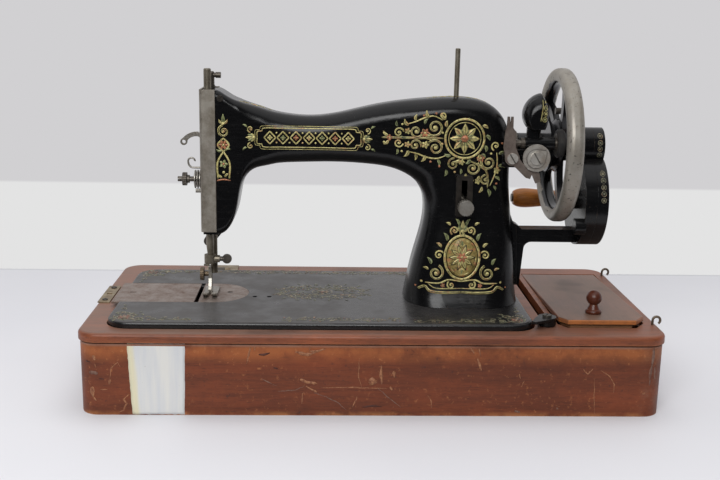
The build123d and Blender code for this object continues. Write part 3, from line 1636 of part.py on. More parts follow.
with BuildPart() as winder_cam:
    with BuildSketch(along_y(cam_x, worm_back, cam_z)):
        Circle(worm_radius)
        with PolarLocations(worm_radius, worm_teeth):
            Circle(0.45, mode=Mode.SUBTRACT)
    extrude(amount=worm_back - worm_front)
    with BuildSketch(along_y(cam_x, worm_front, cam_z)):
        Circle(5.0)
    extrude(amount=worm_front - cam_back)
    with BuildSketch(along_y(cam_x, cam_back, cam_z)):
        Circle(cam_radius)
    extrude(amount=cam_back - cam_front)
    # raised heart that swings the thread guide
    with BuildSketch(along_y(cam_x, cam_front, cam_z)):
        with Locations((-0.6, -0.8)):
            Circle(0.66 * cam_radius)
        with Locations((0.58 * cam_radius, 0.42 * cam_radius)):
            Circle(0.12 * cam_radius)
        make_hull()
    extrude(amount=cam_heart)
    with BuildSketch(along_y(cam_x, worm_back + 1, cam_z)):
        Circle(stud_pin_radius + running)
    extrude(amount=20, mode=Mode.SUBTRACT)
finish(winder_cam, "winder_cam")

# Outlines of the guide's fork, from its pivot, and of its tongue, from the cam's axis
fork_outline = (
    (-6.2, 0.0), (-8.4, 9.6), (-7.4, 24.0), (-6.4, 27.0), (-6.0, 36.6), (-4.0, 36.6), (-3.4, 29.6),
    (-2.8, 36.6), (-0.8, 36.6), (-0.6, 27.0), (1.4, 24.0), (2.6, 9.6), (5.4, 3.0),
)
tongue_outline = (
    (-8.2, -18.0), (-4.2, -19.0), (-2.9, -15.0), (0.8, -22.9), (5.3, -21.5), (3.8, -13.5), (-6.2, -10.7),
)

with BuildPart() as winder_guide:
    with BuildSketch(along_y(0, guide_back, 0)):
        with Locations((guide_x, guide_z)):
            Circle(guide_radius)
        with BuildLine():
            Polyline(*[(guide_x + x, guide_z + z) for x, z in fork_outline], close=True)
        make_face()
        with BuildLine():
            Polyline(
                (guide_x + 1.0, guide_z - guide_radius + 0.4),
                *[(cam_x + x, cam_z + z) for x, z in tongue_outline],
                (guide_x + guide_radius - 0.4, guide_z),
                close=True,
            )
        make_face()
        with Locations((guide_x, guide_z)):
            Circle(stud_pin_radius + running, mode=Mode.SUBTRACT)
    extrude(amount=guide_back - guide_front)
finish(winder_guide, "winder_guide")

# Hood over the winder: a domed shell, open at the back, on the frame's mast
hood_base = winder_z + 13.0
hood_height = 30.2
hood_y = winder_y + 4.0
hood_half = 15.0
hood_x = 140.0
hood_wall = 2.0
hood_slices = ((-1.0, 0.6), (-0.72, 0.88), (-0.25, 1.0), (0.25, 1.0), (0.72, 0.9), (1.0, 0.66))
bead_radius = 1.1


def hood_arcs(share, inset):
    """Left and right arcs of one slice of the hood, in its own plane above the base."""
    left, right, top = (share * v for v in (-10.6, 9.5, hood_height))
    low = inset
    left, right, top = left + inset, right - inset, top - inset
    crown = (0.35 * right, top)
    ThreePointArc((0.6 * left, low), (left, 0.52 * top), crown)
    ThreePointArc(crown, (right, 0.62 * top), (0.88 * right, low))


with BuildPart() as belt_guard:
    for inset, mode in ((0.0, Mode.ADD), (hood_wall, Mode.SUBTRACT)):
        for place, share in hood_slices:
            reach = place * hood_half + (inset if place < 0 else inset / 2)
            with BuildSketch(along_y(hood_x, hood_y + reach, hood_base)):
                with BuildLine() as slice_line:
                    hood_arcs(share, inset)
                    Line(slice_line.wires()[0] @ 1, slice_line.wires()[0] @ 0)
                make_face()
        loft(mode=mode)
    # bead over the front of the hood
    with BuildLine(along_y(hood_x, hood_y - 0.5 * hood_half, hood_base)) as bead_line:
        ThreePointArc(
            (-0.55 * 10.6, 1.5), (-0.93 * 10.6, 0.5 * hood_height), (0.2 * 9.5, 0.93 * hood_height)
        )
    with BuildSketch(Plane(origin=bead_line.wires()[0] @ 0, z_dir=bead_line.wires()[0] % 0)):
        Circle(bead_radius)
    sweep()
finish(belt_guard, "belt_guard")

# Stitch forming parts under the bed
race_left = -164.0
race_right = -147.0
race_radius = 19.5
race_wall = 2.5
sleeve_right = bearing_xs[0] - bearing_width / 2
hook_left = -163.6
hook_right = -150.0
hook_wall = 2.6
hook_shaft_right = 60.0

with BuildPart() as shuttle_race:
    with BuildSketch(along_x(race_left, hook_y, hook_z)):
        Circle(race_radius)
        Circle(race_radius - race_wall, mode=Mode.SUBTRACT)
    extrude(amount=race_right - race_left)
    with BuildSketch(along_x(race_right - 2.4, hook_y, hook_z)):
        Circle(race_radius)
    extrude(amount=2.4)
    with BuildSketch(along_x(race_right - 2.4, hook_y, hook_z)):
        Circle(hook_shaft_radius + bearing_wall)
    extrude(amount=sleeve_right - race_right + 2.4)
    with BuildSketch(along_x(race_right - 4, hook_y, hook_z)):
        Circle(hook_shaft_radius + running)
    extrude(amount=sleeve_right - race_right + 6, mode=Mode.SUBTRACT)
finish(shuttle_race, "shuttle_race")

hook_radius = race_radius - race_wall - running
hook_pin_radius = 2.0
case_left = -166.0
case_right = -153.2
case_radius = 11.5

with BuildPart() as oscillating_hook:
    with BuildSketch(along_x(hook_left, hook_y, hook_z)):
        Circle(hook_radius)
        Circle(hook_radius - hook_wall, mode=Mode.SUBTRACT)
        with BuildLine():
            Polyline((0, 0), (30, 6), (30, 30), (-6, 30), close=True)
        make_face(mode=Mode.SUBTRACT)
    extrude(amount=hook_right - hook_left)
    with BuildSketch(along_x(hook_right - 2.4, hook_y, hook_z)):
        Circle(hook_radius)
    extrude(amount=2.4)
    with BuildSketch(along_x(case_left + 2, hook_y, hook_z)):
        Circle(hook_pin_radius)
    extrude(amount=hook_right - case_left - 2)
    with BuildSketch(along_x(hook_right - 1, hook_y, hook_z)):
        Circle(hook_shaft_radius)
    extrude(amount=hook_shaft_right - hook_right + 1)
finish(oscillating_hook, "oscillating_hook")

with BuildPart() as bobbin_case:
    with BuildSketch(along_x(case_left, hook_y, hook_z)):
        Circle(case_radius)
    extrude(amount=case_right - case_left)
    with BuildSketch(along_x(case_left + 1.2, hook_y, hook_z)):
        Circle(case_radius - 1.0)
        Circle(4.0, mode=Mode.SUBTRACT)
    extrude(amount=case_right - case_left, mode=Mode.SUBTRACT)
    with BuildSketch(along_x(case_left - 1, hook_y, hook_z)):
        Circle(hook_pin_radius + running)
    extrude(amount=case_right - case_left + 2, mode=Mode.SUBTRACT)
finish(bobbin_case, "bobbin_case")

feed_bar_back = 46.0
feed_front = -28.0
dog_top = bed_top
tooth_width = 2.0
feed_travel = 1.5
dog_length = feed_slot_length - 2 * feed_travel - 2 * loose

with BuildPart() as feed_dog:
    with BuildSketch(Plane(origin=(feed_bar_x, feed_front, feed_bar_z), x_dir=(1, 0, 0), z_dir=(0, 1, 0))):
        Circle(feed_bar_radius)
    extrude(amount=feed_bar_back - feed_front)
    with BuildSketch(Plane.XY.offset(feed_bar_z)):
        with Locations((feed_bar_x, feed_y)):
            Rectangle(2 * feed_bar_radius + 1, dog_length + 2)
    extrude(amount=feed_bar_radius + 1)
    with BuildSketch(Plane.XY.offset(feed_bar_z + feed_bar_radius)):
        with Locations(((needle_x + feed_bar_x) / 2 - 1.0, feed_y)):
            Rectangle(feed_bar_x - needle_x + 10.0, dog_length)
    extrude(amount=3.0)
    with BuildSketch(Plane.XY.offset(feed_bar_z + feed_bar_radius)):
        for side in (-1, 1):
            with Locations((needle_x + side * feed_slot_offset, feed_y)):
                Rectangle(tooth_width, dog_length)
    extrude(amount=dog_top - feed_bar_z - feed_bar_radius)
    with BuildSketch(along_x(needle_x - 10, feed_y, dog_top)):
        with GridLocations(1.9, 1, 11, 1):
            Rectangle(0.9, 0.9, rotation=45)
    extrude(amount=20, mode=Mode.SUBTRACT)
finish(feed_dog, "feed_dog")

# Pins of the lifter, the take-up lever and the stitch lever
with BuildPart() as pivot_pins:
    with BuildSketch(along_y(lifter_x, head_back - lifter_pin_depth, lifter_z)):
        Circle(lifter_pin_radius)
    extrude(amount=-lifter_pin_depth - lifter_thickness - loose - running)
    with BuildSketch(
        along_y(lifter_x, head_back + lifter_thickness + loose + running, lifter_z)
    ):
        Circle(4.2)
    extrude(amount=-1.6)
    with BuildSketch(along_y(lever_pivot_x, head_back - cavity_side, lever_pivot_z)):
        Circle(lever_pivot_radius)
    extrude(amount=head_depth - 2 * cavity_side)
    with BuildSketch(along_x(well_left - 4, pivot_y, pivot_z)):
        Circle(pivot_radius)
    extrude(amount=well_right - well_left + 8)
finish(pivot_pins, "pivot_pins")

# Slotted screws of the face plate, casting, needle plate, bracket and gear cover
left_facing = Plane(origin=(cover_left, shaft_y, cover_screw_z), x_dir=(0, -1, 0), z_dir=(-1, 0, 0))
cover_screw_head = (crank_left - housing_right) / 2
screw_seats = (
    (left_facing, 3.6, 1.8),
    (along_y(head_end + 4.4, head_front, head_top - 7), 2.9, 0.8),
    (along_x(housing_right, shaft_y - 30, gear_z - 12), 3.2, cover_screw_head),
    (along_x(housing_right, shaft_y - 12, gear_z + 34), 3.2, cover_screw_head),
    (along_x(housing_right, shaft_y + 14, gear_z - 30), 3.2, cover_screw_head),
)

with BuildPart() as head_screws:
    for plane, radius, height in screw_seats:
        with BuildSketch(plane):
            Circle(radius)
        extrude(amount=height)
        with BuildSketch(plane.offset(height / 2)):
            Rectangle(3 * radius, screw_slot, rotation=35)
        extrude(amount=height, mode=Mode.SUBTRACT)
    with BuildSketch(Plane.XY.offset(bed_top - plate_seat)):
        with Locations((plate_screw_x, plate_screw_y)):
            Circle(plate_screw_radius)
    extrude(amount=plate_seat - 0.5)
finish(head_screws, "head_screws")
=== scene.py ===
import math
import random

import bpy
from mathutils import Matrix, Vector
from mathutils.bvhtree import BVHTree


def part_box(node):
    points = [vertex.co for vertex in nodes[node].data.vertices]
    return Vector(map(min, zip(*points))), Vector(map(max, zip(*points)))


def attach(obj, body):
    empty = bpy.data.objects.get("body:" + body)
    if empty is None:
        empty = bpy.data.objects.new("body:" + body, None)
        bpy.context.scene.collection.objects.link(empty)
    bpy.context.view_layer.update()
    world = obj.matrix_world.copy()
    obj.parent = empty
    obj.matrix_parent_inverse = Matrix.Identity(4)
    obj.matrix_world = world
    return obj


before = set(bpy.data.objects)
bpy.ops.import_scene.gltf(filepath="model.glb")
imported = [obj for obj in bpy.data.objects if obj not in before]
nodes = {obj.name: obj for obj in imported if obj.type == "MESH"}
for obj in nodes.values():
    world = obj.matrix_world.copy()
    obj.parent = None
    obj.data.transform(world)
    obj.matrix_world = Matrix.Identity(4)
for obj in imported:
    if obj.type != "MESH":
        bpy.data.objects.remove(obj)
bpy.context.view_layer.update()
MM = 0.001


# Colours are written as they look on screen, from 0 to 255.
def colour(red, green, blue):
    def linear(value):
        value /= 255.0
        return value / 12.92 if value <= 0.04045 else ((value + 0.055) / 1.055) ** 2.4

    return (linear(red), linear(green), linear(blue), 1.0)


def placed(name, data):
    """A new object in the scene."""
    thing = bpy.data.objects.new(name, data)
    bpy.context.scene.collection.objects.link(thing)
    return thing


class Graph:
    """Puts a node tree together, node by node."""

    def __init__(self, tree):
        self.tree = tree

    def add(self, kind, inputs=None, **settings):
        node = self.tree.nodes.new(kind)
        for key, value in settings.items():
            setattr(node, key, value)
        for key, value in (inputs or {}).items():
            self.join(node.inputs[key], value)
        return node

    def join(self, socket, value):
        if isinstance(value, bpy.types.NodeSocket):
            self.tree.links.new(value, socket)
        else:
            socket.default_value = value

    def span(self, value, low, high, to_low=0.0, to_high=1.0, kind="LINEAR"):
        """Maps low..high onto to_low..to_high and stops at both ends."""
        inputs = {"Value": value, "From Min": low, "From Max": high,
                  "To Min": to_low, "To Max": to_high}
        return self.add("ShaderNodeMapRange", inputs, interpolation_type=kind).outputs["Result"]

    def maths(self, operation, *values):
        return self.add("ShaderNodeMath", dict(enumerate(values)), operation=operation).outputs[0]

    def total(self, operation, values):
        result = values[0]
        for value in values[1:]:
            result = self.maths(operation, result, value)
        return result

    def both(self, *values):
        return self.total("MULTIPLY", values)

    def most(self, *values):
        return self.total("MAXIMUM", values)

    def mix(self, share, first, second):
        node = self.add("ShaderNodeMix", data_type="RGBA")
        for place, value in ((0, share), (6, first), (7, second)):
            self.join(node.inputs[place], value)
        return node.outputs[2]

    def tint(self, base, shade, *shares):
        """The base with a screen colour over it, by the product of the shares."""
        return self.mix(self.both(*shares), base, colour(*shade))


class Paint(Graph):
    """One procedural material."""

    def __init__(self, name):
        self.material = bpy.data.materials.new(name)
        self.material.use_nodes = True
        super().__init__(self.material.node_tree)
        self.shader = self.tree.nodes["Principled BSDF"]
        self.place = self.add("ShaderNodeTexCoord").outputs["Object"]
        self.axes = self.add("ShaderNodeSeparateXYZ", {"Vector": self.place}).outputs

    def vector(self, operation, first, second=(0.0, 0.0, 0.0), output=0):
        node = self.add("ShaderNodeVectorMath", {0: first, 1: second}, operation=operation)
        return node.outputs[output]

    def stretch(self, x, y, z, shift=0.0):
        """The place, scaled along each axis."""
        scaled = self.vector("MULTIPLY", self.place, (x, y, z))
        return self.vector("ADD", scaled, (shift,) * 3)

    def flow(self, grain, shift=0.0, ends=False):
        """The place, stretched along the grain, which turns at the walls that face along X."""
        along = self.stretch(*grain, shift)
        if not ends:
            return along
        turned = self.stretch(grain[1], grain[0], grain[2], shift)
        sideways = self.maths("ABSOLUTE", self.facing(0))
        return self.mix(self.span(sideways, 0.6, 0.75), along, turned)

    def noise(self, scale, vector=None, detail=4.0, rough=0.55, bend=0.0):
        inputs = {"Vector": vector or self.place, "Scale": scale, "Detail": detail,
                  "Roughness": rough, "Distortion": bend}
        return self.add("ShaderNodeTexNoise", inputs).outputs["Fac"]

    def ramp(self, value, *stops):
        node = self.add("ShaderNodeValToRGB", {"Fac": value})
        ends = node.color_ramp.elements
        while len(ends) < len(stops):
            ends.new(0.5)
        for end, (position, shade) in zip(ends, stops):
            end.position = position
            end.color = shade
        return node.outputs["Color"]

    def inside(self, axis, low, high, soft):
        """1 between two places along an axis, in metres, with soft edges."""
        rise = self.span(self.axes[axis], low - soft, low + soft)
        fall = self.span(self.axes[axis], high - soft, high + soft, 1.0, 0.0)
        return self.maths("MULTIPLY", rise, fall)

    def radius(self, centre):
        """How far the place is from an axle along X, in metres."""
        away = self.vector("SUBTRACT", self.place, centre)
        flat = self.vector("MULTIPLY", away, (0.0, 1.0, 1.0))
        return self.vector("LENGTH", flat, output="Value")

    def edge(self, radius, low, high):
        """1 on sharp edges, from how far a rounded normal leaves the true one."""
        rounded = self.add("ShaderNodeBevel", {"Radius": radius}, samples=6).outputs[0]
        true = self.add("ShaderNodeNewGeometry").outputs["Normal"]
        alike = self.vector("DOT_PRODUCT", rounded, true, "Value")
        return self.span(self.maths("SUBTRACT", 1.0, alike), low, high)

    def crevice(self, distance, low, high):
        """1 where ambient occlusion finds slots and corners: grime that a rag doesn't reach, and
        painted shade.
        """
        open_share = self.add("ShaderNodeAmbientOcclusion", {"Distance": distance}, samples=6,
                              only_local=True).outputs["AO"]
        return self.span(open_share, low, high, 1.0, 0.0)

    def facing(self, axis):
        """How much the surface faces along an axis."""
        normal = self.add("ShaderNodeNewGeometry").outputs["Normal"]
        return self.add("ShaderNodeSeparateXYZ", {"Vector": normal}).outputs[axis]

    def finish(self, base, rough, height, strength, distance, metal=0.0, specular=0.5,
               smooth=0.0):
        """Fills the shader, with the height as a bump on edges rounded by a smooth radius."""
        for name, value in (("Base Color", base), ("Roughness", rough), ("Metallic", metal)):
            self.join(self.shader.inputs[name], value)
        self.shader.inputs["Specular IOR Level"].default_value = specular
        inputs = {"Height": height, "Strength": strength, "Distance": distance}
        if smooth:
            rounded = self.add("ShaderNodeBevel", {"Radius": smooth}, samples=4)
            inputs["Normal"] = rounded.outputs[0]
        self.join(self.shader.inputs["Normal"], self.add("ShaderNodeBump", inputs).outputs[0])
        return self.material


def wear(paint, *names):
    """Gives CAD nodes a material in place of what they were packed with."""
    for name in names:
        data = nodes[name].data
        data.materials.clear()
        data.materials.append(paint)


# Japanned iron: black, hard and glossy, fine scratches, and dust with a painted reflection on flat
# tops.
def japan(name, film=0.25, base_black=(12, 12, 13), dust_and_reflection_shade=(60, 58, 56), dull=0.0, worn=0.5,
          specular=0.3, fade=0.0):
    paint = Paint(name)
    patch = paint.noise(38.0, detail=6.0, rough=0.6)
    dust = paint.noise(420.0, detail=3.0)
    scratch = paint.noise(60.0, paint.stretch(1.0, 9.0, 9.0), detail=5.0, rough=0.7)
    # Flat tops get a pale film: partly dust, partly a painted reflection of the pale room.
    up = paint.span(paint.facing(2), 0.55, 0.98)
    dust_and_reflection = paint.both(up, paint.span(patch, 0.35, 0.75, 0.35, 1.0), film)
    if fade:
        dust_and_reflection = paint.both(dust_and_reflection, paint.span(paint.axes[0], -0.06, 0.12, 1.0, fade))
    speck = paint.both(paint.span(dust, 0.66, 0.74), paint.span(patch, 0.45, 0.6, 0.15, 0.8))
    chip = paint.both(paint.edge(0.0009, 0.06, 0.25), paint.span(patch, 0.52, 0.62))
    base = paint.mix(dust_and_reflection, colour(*base_black), colour(*dust_and_reflection_shade))
    base = paint.tint(base, (110, 100, 88), speck, 0.2)
    base = paint.tint(base, (92, 74, 58), chip, worn)
    rough = paint.span(scratch, 0.3, 0.7, 0.14 + dull, 0.3 + dull)
    under = paint.span(paint.facing(2), -0.7, -0.1, 0.5, 0.0)
    rough = paint.most(rough, paint.both(dust_and_reflection, 0.9), paint.both(chip, 0.5), under)
    height = paint.noise(900.0, detail=2.0)
    return paint.finish(base, rough, height=height, strength=0.04, distance=0.0002,
                        specular=specular, smooth=0.0007)


# Metal with tarnish, pits, and dirt and painted shade in the corners.
def metal(name, bright, dull, rust, rough=0.28, rusty=0.4, grain=(1.0, 1.0, 1.0),
          grime_and_shade_reach=(0.0014, 0.35, 0.8)):
    paint = Paint(name)
    patch = paint.noise(95.0, detail=7.0, rough=0.65)
    pits = paint.noise(260.0, detail=5.0, rough=0.7)
    lines = paint.noise(500.0, paint.stretch(*grain), detail=3.0)
    tarnish = paint.span(patch, 0.38, 0.66)
    spots = paint.both(paint.span(pits, 0.52, 0.64), paint.span(patch, 0.4, 0.6, 0.25, 1.0))
    base = paint.mix(tarnish, colour(*bright), colour(*dull))
    base = paint.tint(base, rust, spots, rusty)
    grime_and_shade = paint.crevice(*grime_and_shade_reach)
    # Dark grime and painted shade where ambient occlusion finds slots and corners.
    base = paint.tint(base, (34, 29, 25), grime_and_shade, 0.85)
    gloss = paint.most(paint.both(grime_and_shade, 0.8), paint.span(lines, 0.3, 0.7, rough, rough + 0.14),
                       paint.both(spots, 0.65), paint.both(tarnish, rough + 0.16))
    shine = paint.span(paint.most(spots, grime_and_shade), 0.0, 1.0, 0.7, 0.2)
    height = paint.mix(0.5, paint.maths("SUBTRACT", 1.0, spots), lines)
    return paint.finish(base, gloss, metal=shine, height=height, strength=0.12,
                        distance=0.0002, smooth=0.0003)


def shaded(shade, factor):
    return [min(255, part * factor) for part in shade]


# Mahogany: long grain streaks, darker pores, blotches, worn edges, on top dust and painted
# reflection.
def mahogany(name, light, dark, grain=(1.0, 14.0, 14.0), worn=(150, 92, 58), wear_share=0.6,
             gloss=0.42, marks=None, film=None, fade=0.45, front=None):
    paint = Paint(name)
    ends = marks is not None
    broad = paint.noise(5.0, paint.flow(grain, 0.0, ends), detail=3.0, bend=0.6)
    fine = paint.noise(34.0, paint.flow(grain, 3.1, ends), detail=8.0, rough=0.7, bend=0.2)
    pores = paint.noise(150.0, paint.flow(grain, 7.7, ends), detail=3.0)
    cloud = paint.noise(9.0, detail=5.0, rough=0.6)
    tone = paint.maths("ADD", paint.both(broad, 0.55), paint.both(fine, 0.45))
    base = paint.ramp(tone, (0.30, colour(*dark)), (0.52, colour(*light)),
                      (0.72, colour(*shaded(light, 1.18))))
    base = paint.tint(base, dark, paint.span(cloud, 0.45, 0.75, 0.0, 0.55))
    loose = [0.4 + 0.6 * min(1.0, share / 6.0) for share in grain]
    blotch = paint.noise(26.0, paint.stretch(*loose, 5.2), detail=7.0, rough=0.7)
    base = paint.tint(base, shaded(dark, 0.72), paint.span(blotch, 0.54, 0.7, 0.0, 0.4))
    base = paint.tint(base, shaded(light, 1.25), paint.span(blotch, 0.46, 0.32, 0.0, 0.35))
    base = paint.tint(base, shaded(dark, 0.6), paint.span(pores, 0.56, 0.7), 0.5)
    rub = paint.noise(120.0, detail=6.0, rough=0.7)
    edge = paint.both(paint.edge(0.002, 0.01, 0.15), paint.span(rub, 0.35, 0.6, 0.1, 1.0))
    base = paint.tint(base, worn, edge, wear_share)
    rough = paint.span(cloud, 0.3, 0.7, gloss, gloss + 0.16)
    if film:
        # A pale film on top: partly dust, partly a painted reflection of the pale wall, fading
        # towards +X.
        up = paint.span(paint.facing(2), 0.7, 0.98)
        haze_and_reflection = paint.both(up, paint.span(cloud, 0.3, 0.7, 0.2, 0.8),
                          paint.span(paint.axes[0], -0.16, 0.1, 1.0, fade))
        base = paint.tint(base, film, haze_and_reflection)
        stain = paint.both(up, paint.span(paint.noise(17.0, detail=2.0), 0.58, 0.72, 0.0, 0.45))
        base = paint.tint(base, shaded(dark, 0.7), stain)
    if front:
        bare = paint.both(paint.span(paint.facing(1), -0.35, -0.7),
                          paint.span(rub, 0.3, 0.55, 0.45, 0.95))
        base = paint.tint(base, front, bare)
    if marks:
        base, rough = marks(paint, base, rough)
    height = paint.mix(0.6, fine, pores)
    return paint.finish(base, rough, height=height, strength=0.12, distance=0.0004,
                        specular=0.4, smooth=0.0008)


# The case front is dusty under its lip and rubbed at its foot and at the right corner.
def case_marks(paint, base, rough):
    cloud = paint.noise(30.0, detail=6.0, rough=0.7)
    grit = paint.noise(260.0, detail=4.0, rough=0.7)
    stains = ((0.0530, 0.0630, 0.0070, 0.36, 0.15, (176, 102, 52), 0.85),  # warm below the lip
              (0.0622, 0.0660, 0.0012, 0.35, 0.3, (136, 112, 100), 0.75),  # dust in its corner
              (-0.01, 0.0026, 0.0018, 0.42, 0.0, (170, 112, 66), 0.7))  # rubbed foot
    for low, high, soft, start, least, shade, share in stains:
        base = paint.tint(base, shade, paint.inside(2, low, high, soft),
                          paint.span(cloud, start, 0.6, least, 1.0), share)
    right_end = paint.inside(0, 0.235, 0.246, 0.006)
    front_face = paint.inside(1, -0.14, -0.10, 0.002)
    base = paint.tint(base, (134, 104, 84), right_end, front_face,
                      paint.span(cloud, 0.45, 0.6), 0.5)
    nicks = paint.both(paint.span(grit, 0.60, 0.66), paint.span(cloud, 0.42, 0.6, 0.15, 1.0))
    base = paint.tint(base, (176, 112, 68), nicks, 0.6)
    dents = paint.both(paint.span(grit, 0.40, 0.34), paint.span(cloud, 0.5, 0.4, 0.0, 0.7))
    return paint.mix(dents, base, colour(58, 34, 28)), paint.most(rough, paint.both(nicks, 0.7))


wood_case = mahogany("mahogany_walls", (112, 53, 25), (80, 37, 18), worn=(160, 100, 60),
                     marks=case_marks)
# The top and the lid carry a pale film on top: dust and a painted reflection of the wall.
wood_top = mahogany("mahogany_top", (132, 72, 44), (84, 46, 32), worn=(178, 112, 66),
                    wear_share=0.8, gloss=0.34, film=(128, 110, 98))
wood_lid = mahogany("mahogany_lid", (112, 72, 54), (70, 42, 34), grain=(14.0, 1.0, 14.0),
                    gloss=0.34, worn=(206, 132, 72), wear_share=0.95, film=(126, 110, 97),
                    fade=0.75, front=(176, 108, 58))
wood_batten = mahogany("mahogany_batten", (136, 96, 66), (96, 62, 42), wear_share=0.5)
wood_hidden = mahogany("mahogany_inside", (96, 58, 42), (60, 36, 28), wear_share=0.2)
grip_wood = mahogany("turned_grip", (178, 112, 50), (112, 62, 24), grain=(1.0, 12.0, 12.0),
                     worn=(196, 142, 86), gloss=0.3)
knob_wood = mahogany("turned_knob", (88, 42, 26), (46, 24, 17), grain=(9.0, 9.0, 1.0),
                     worn=(150, 92, 58), gloss=0.2)
iron = japan("japanned_iron")
# The bed's heavy grey film is dust and a painted reflection of the pale wall, lighter to the left.
iron_bed = japan("japanned_bed", film=0.8, base_black=(22, 22, 23), dust_and_reflection_shade=(98, 95, 93),
                 dull=0.04, specular=0.5, fade=0.15)
iron_worn = japan("worn_japanned_iron", film=0.4, base_black=(20, 19, 19), worn=0.9, dull=0.08)
nickel = metal("tarnished_nickel", (168, 164, 156), (122, 114, 102), (62, 50, 40))
nickel_white = metal("pale_nickel", (204, 200, 192), (166, 156, 144), (84, 66, 50), rough=0.32,
                     grime_and_shade_reach=(0.0022, 0.62, 0.95))
nickel_stained = metal("stained_nickel", (140, 128, 119), (106, 93, 86), (70, 52, 44), rough=0.34)
nickel_brown = metal("brown_nickel", (138, 131, 117), (100, 91, 76), (64, 50, 38), rough=0.32)
nickel_plate = metal("dull_face_plate", (158, 152, 142), (122, 114, 102), (76, 66, 52),
                     rough=0.4, rusty=0.35, grain=(1.0, 1.0, 0.05))
rusty_plate = metal("rusty_plates", (156, 144, 136), (124, 104, 92), (92, 64, 50),
                    rough=0.42, rusty=0.55)
steel = metal("dark_steel", (104, 98, 90), (72, 66, 60), (56, 44, 34), rough=0.36)
brass = metal("brown_brass", (120, 104, 84), (88, 74, 58), (54, 44, 34), rough=0.38)
stitch_steel = metal("blackened_steel", (62, 57, 52), (42, 38, 34), (60, 46, 36), rough=0.36)
lock_metal = metal("brown_lock_plate", (164, 150, 124), (122, 104, 80), (84, 54, 38),
                   rough=0.4, rusty=0.5)
hook_wire = metal("hook_wire", (116, 102, 86), (84, 70, 56), (60, 44, 32), rough=0.4)

# Points on the axles along X, in metres, and how far the rubber ring reaches.
wheel_axle, winder_axle = (0.170, -0.012, 0.223), (0.0, -0.05, 0.2295)
ring_start, ring_end, ring_core = 0.1568, 0.1672, 0.0088


# The handwheel's rim is nickelled and pitted, its spokes and hub are japanned.
def rim_paint():
    paint = Paint("handwheel_paint")
    radius = paint.radius(wheel_axle)
    patch = paint.noise(70.0, detail=6.0, rough=0.7)
    pits = paint.noise(330.0, detail=3.0, rough=0.6)
    ragged = paint.maths("ADD", radius, paint.span(patch, 0.3, 0.7, -0.0012, 0.0012))
    plated = paint.span(ragged, 0.0585, 0.0592)
    spots = paint.both(paint.span(pits, 0.615, 0.65), paint.span(patch, 0.4, 0.56, 0.3, 1.0))
    silver = paint.mix(paint.span(patch, 0.35, 0.7), colour(160, 155, 146), colour(138, 131, 120))
    silver = paint.tint(silver, (40, 34, 30), spots, 0.9)
    base = paint.mix(plated, colour(15, 15, 16), silver)
    rough = paint.maths("ADD", 0.2, paint.both(plated, paint.span(spots, 0.0, 1.0, 0.22, 0.4)))
    shine = paint.both(plated, paint.span(spots, 0.0, 1.0, 0.45, 0.1))
    return paint.finish(base, rough, metal=shine, height=paint.maths("SUBTRACT", 1.0, spots),
                        strength=0.15, distance=0.0002, smooth=0.0004)


# The winder's spindle is steel, with a black rubber ring at the handwheel's side.
def spindle_paint():
    paint = Paint("winder_spindle_paint")
    soft = paint.noise(300.0, detail=4.0)
    ring = paint.both(paint.inside(0, ring_start, ring_end, 0.0002),
                      paint.span(paint.radius(winder_axle), ring_core, ring_core + 0.0004))
    black = paint.mix(paint.span(soft, 0.4, 0.7), colour(24, 23, 22), colour(44, 40, 36))
    bare = paint.mix(paint.span(soft, 0.4, 0.66), colour(104, 98, 90), colour(70, 62, 54))
    rough = paint.maths("ADD", paint.span(soft, 0.3, 0.7, 0.34, 0.48), paint.both(ring, 0.28))
    return paint.finish(paint.mix(ring, bare, black), rough, height=soft, strength=0.12,
                        metal=paint.span(ring, 0.0, 1.0, 0.6, 0.0), distance=0.0003)


def transfer_paint(name, bright, dull, black_share, tinge=0.0):
    """Old gold leaf or lacquer, rubbed through to the black in places."""
    paint = Paint(name)
    patch = paint.noise(120.0, detail=6.0, rough=0.75)
    rub = paint.noise(620.0, detail=4.0, rough=0.7)
    warm = paint.noise(210.0, detail=2.0)
    base = paint.mix(paint.span(patch, 0.4, 0.65), colour(*bright), colour(*dull))
    base = paint.tint(base, (204, 138, 96), paint.span(warm, 0.56, 0.62, 0.0, tinge))
    gone = paint.both(paint.span(rub, 0.44, 0.6), paint.span(patch, 0.36, 0.6, 0.25, 1.0),
                      black_share)
    base = paint.tint(base, (18, 17, 15), gone)
    return paint.finish(base, paint.span(rub, 0.3, 0.7, 0.3, 0.46), metal=0.15, height=rub,
                        strength=0.05, distance=0.0001)


def flake_paint(name, bright, dull):
    """Bare wood, chalky paint or dirt in a scratch."""
    paint = Paint(name)
    patch = paint.noise(340.0, detail=6.0, rough=0.8)
    streak = paint.noise(90.0, paint.stretch(6.0, 6.0, 1.0), detail=5.0, rough=0.7)
    share = paint.maths("ADD", paint.both(patch, 0.6), paint.both(streak, 0.4))
    base = paint.mix(paint.span(share, 0.42, 0.58), colour(*bright), colour(*dull))
    return paint.finish(base, 0.55, height=patch, strength=0.2, distance=0.0002, specular=0.3)


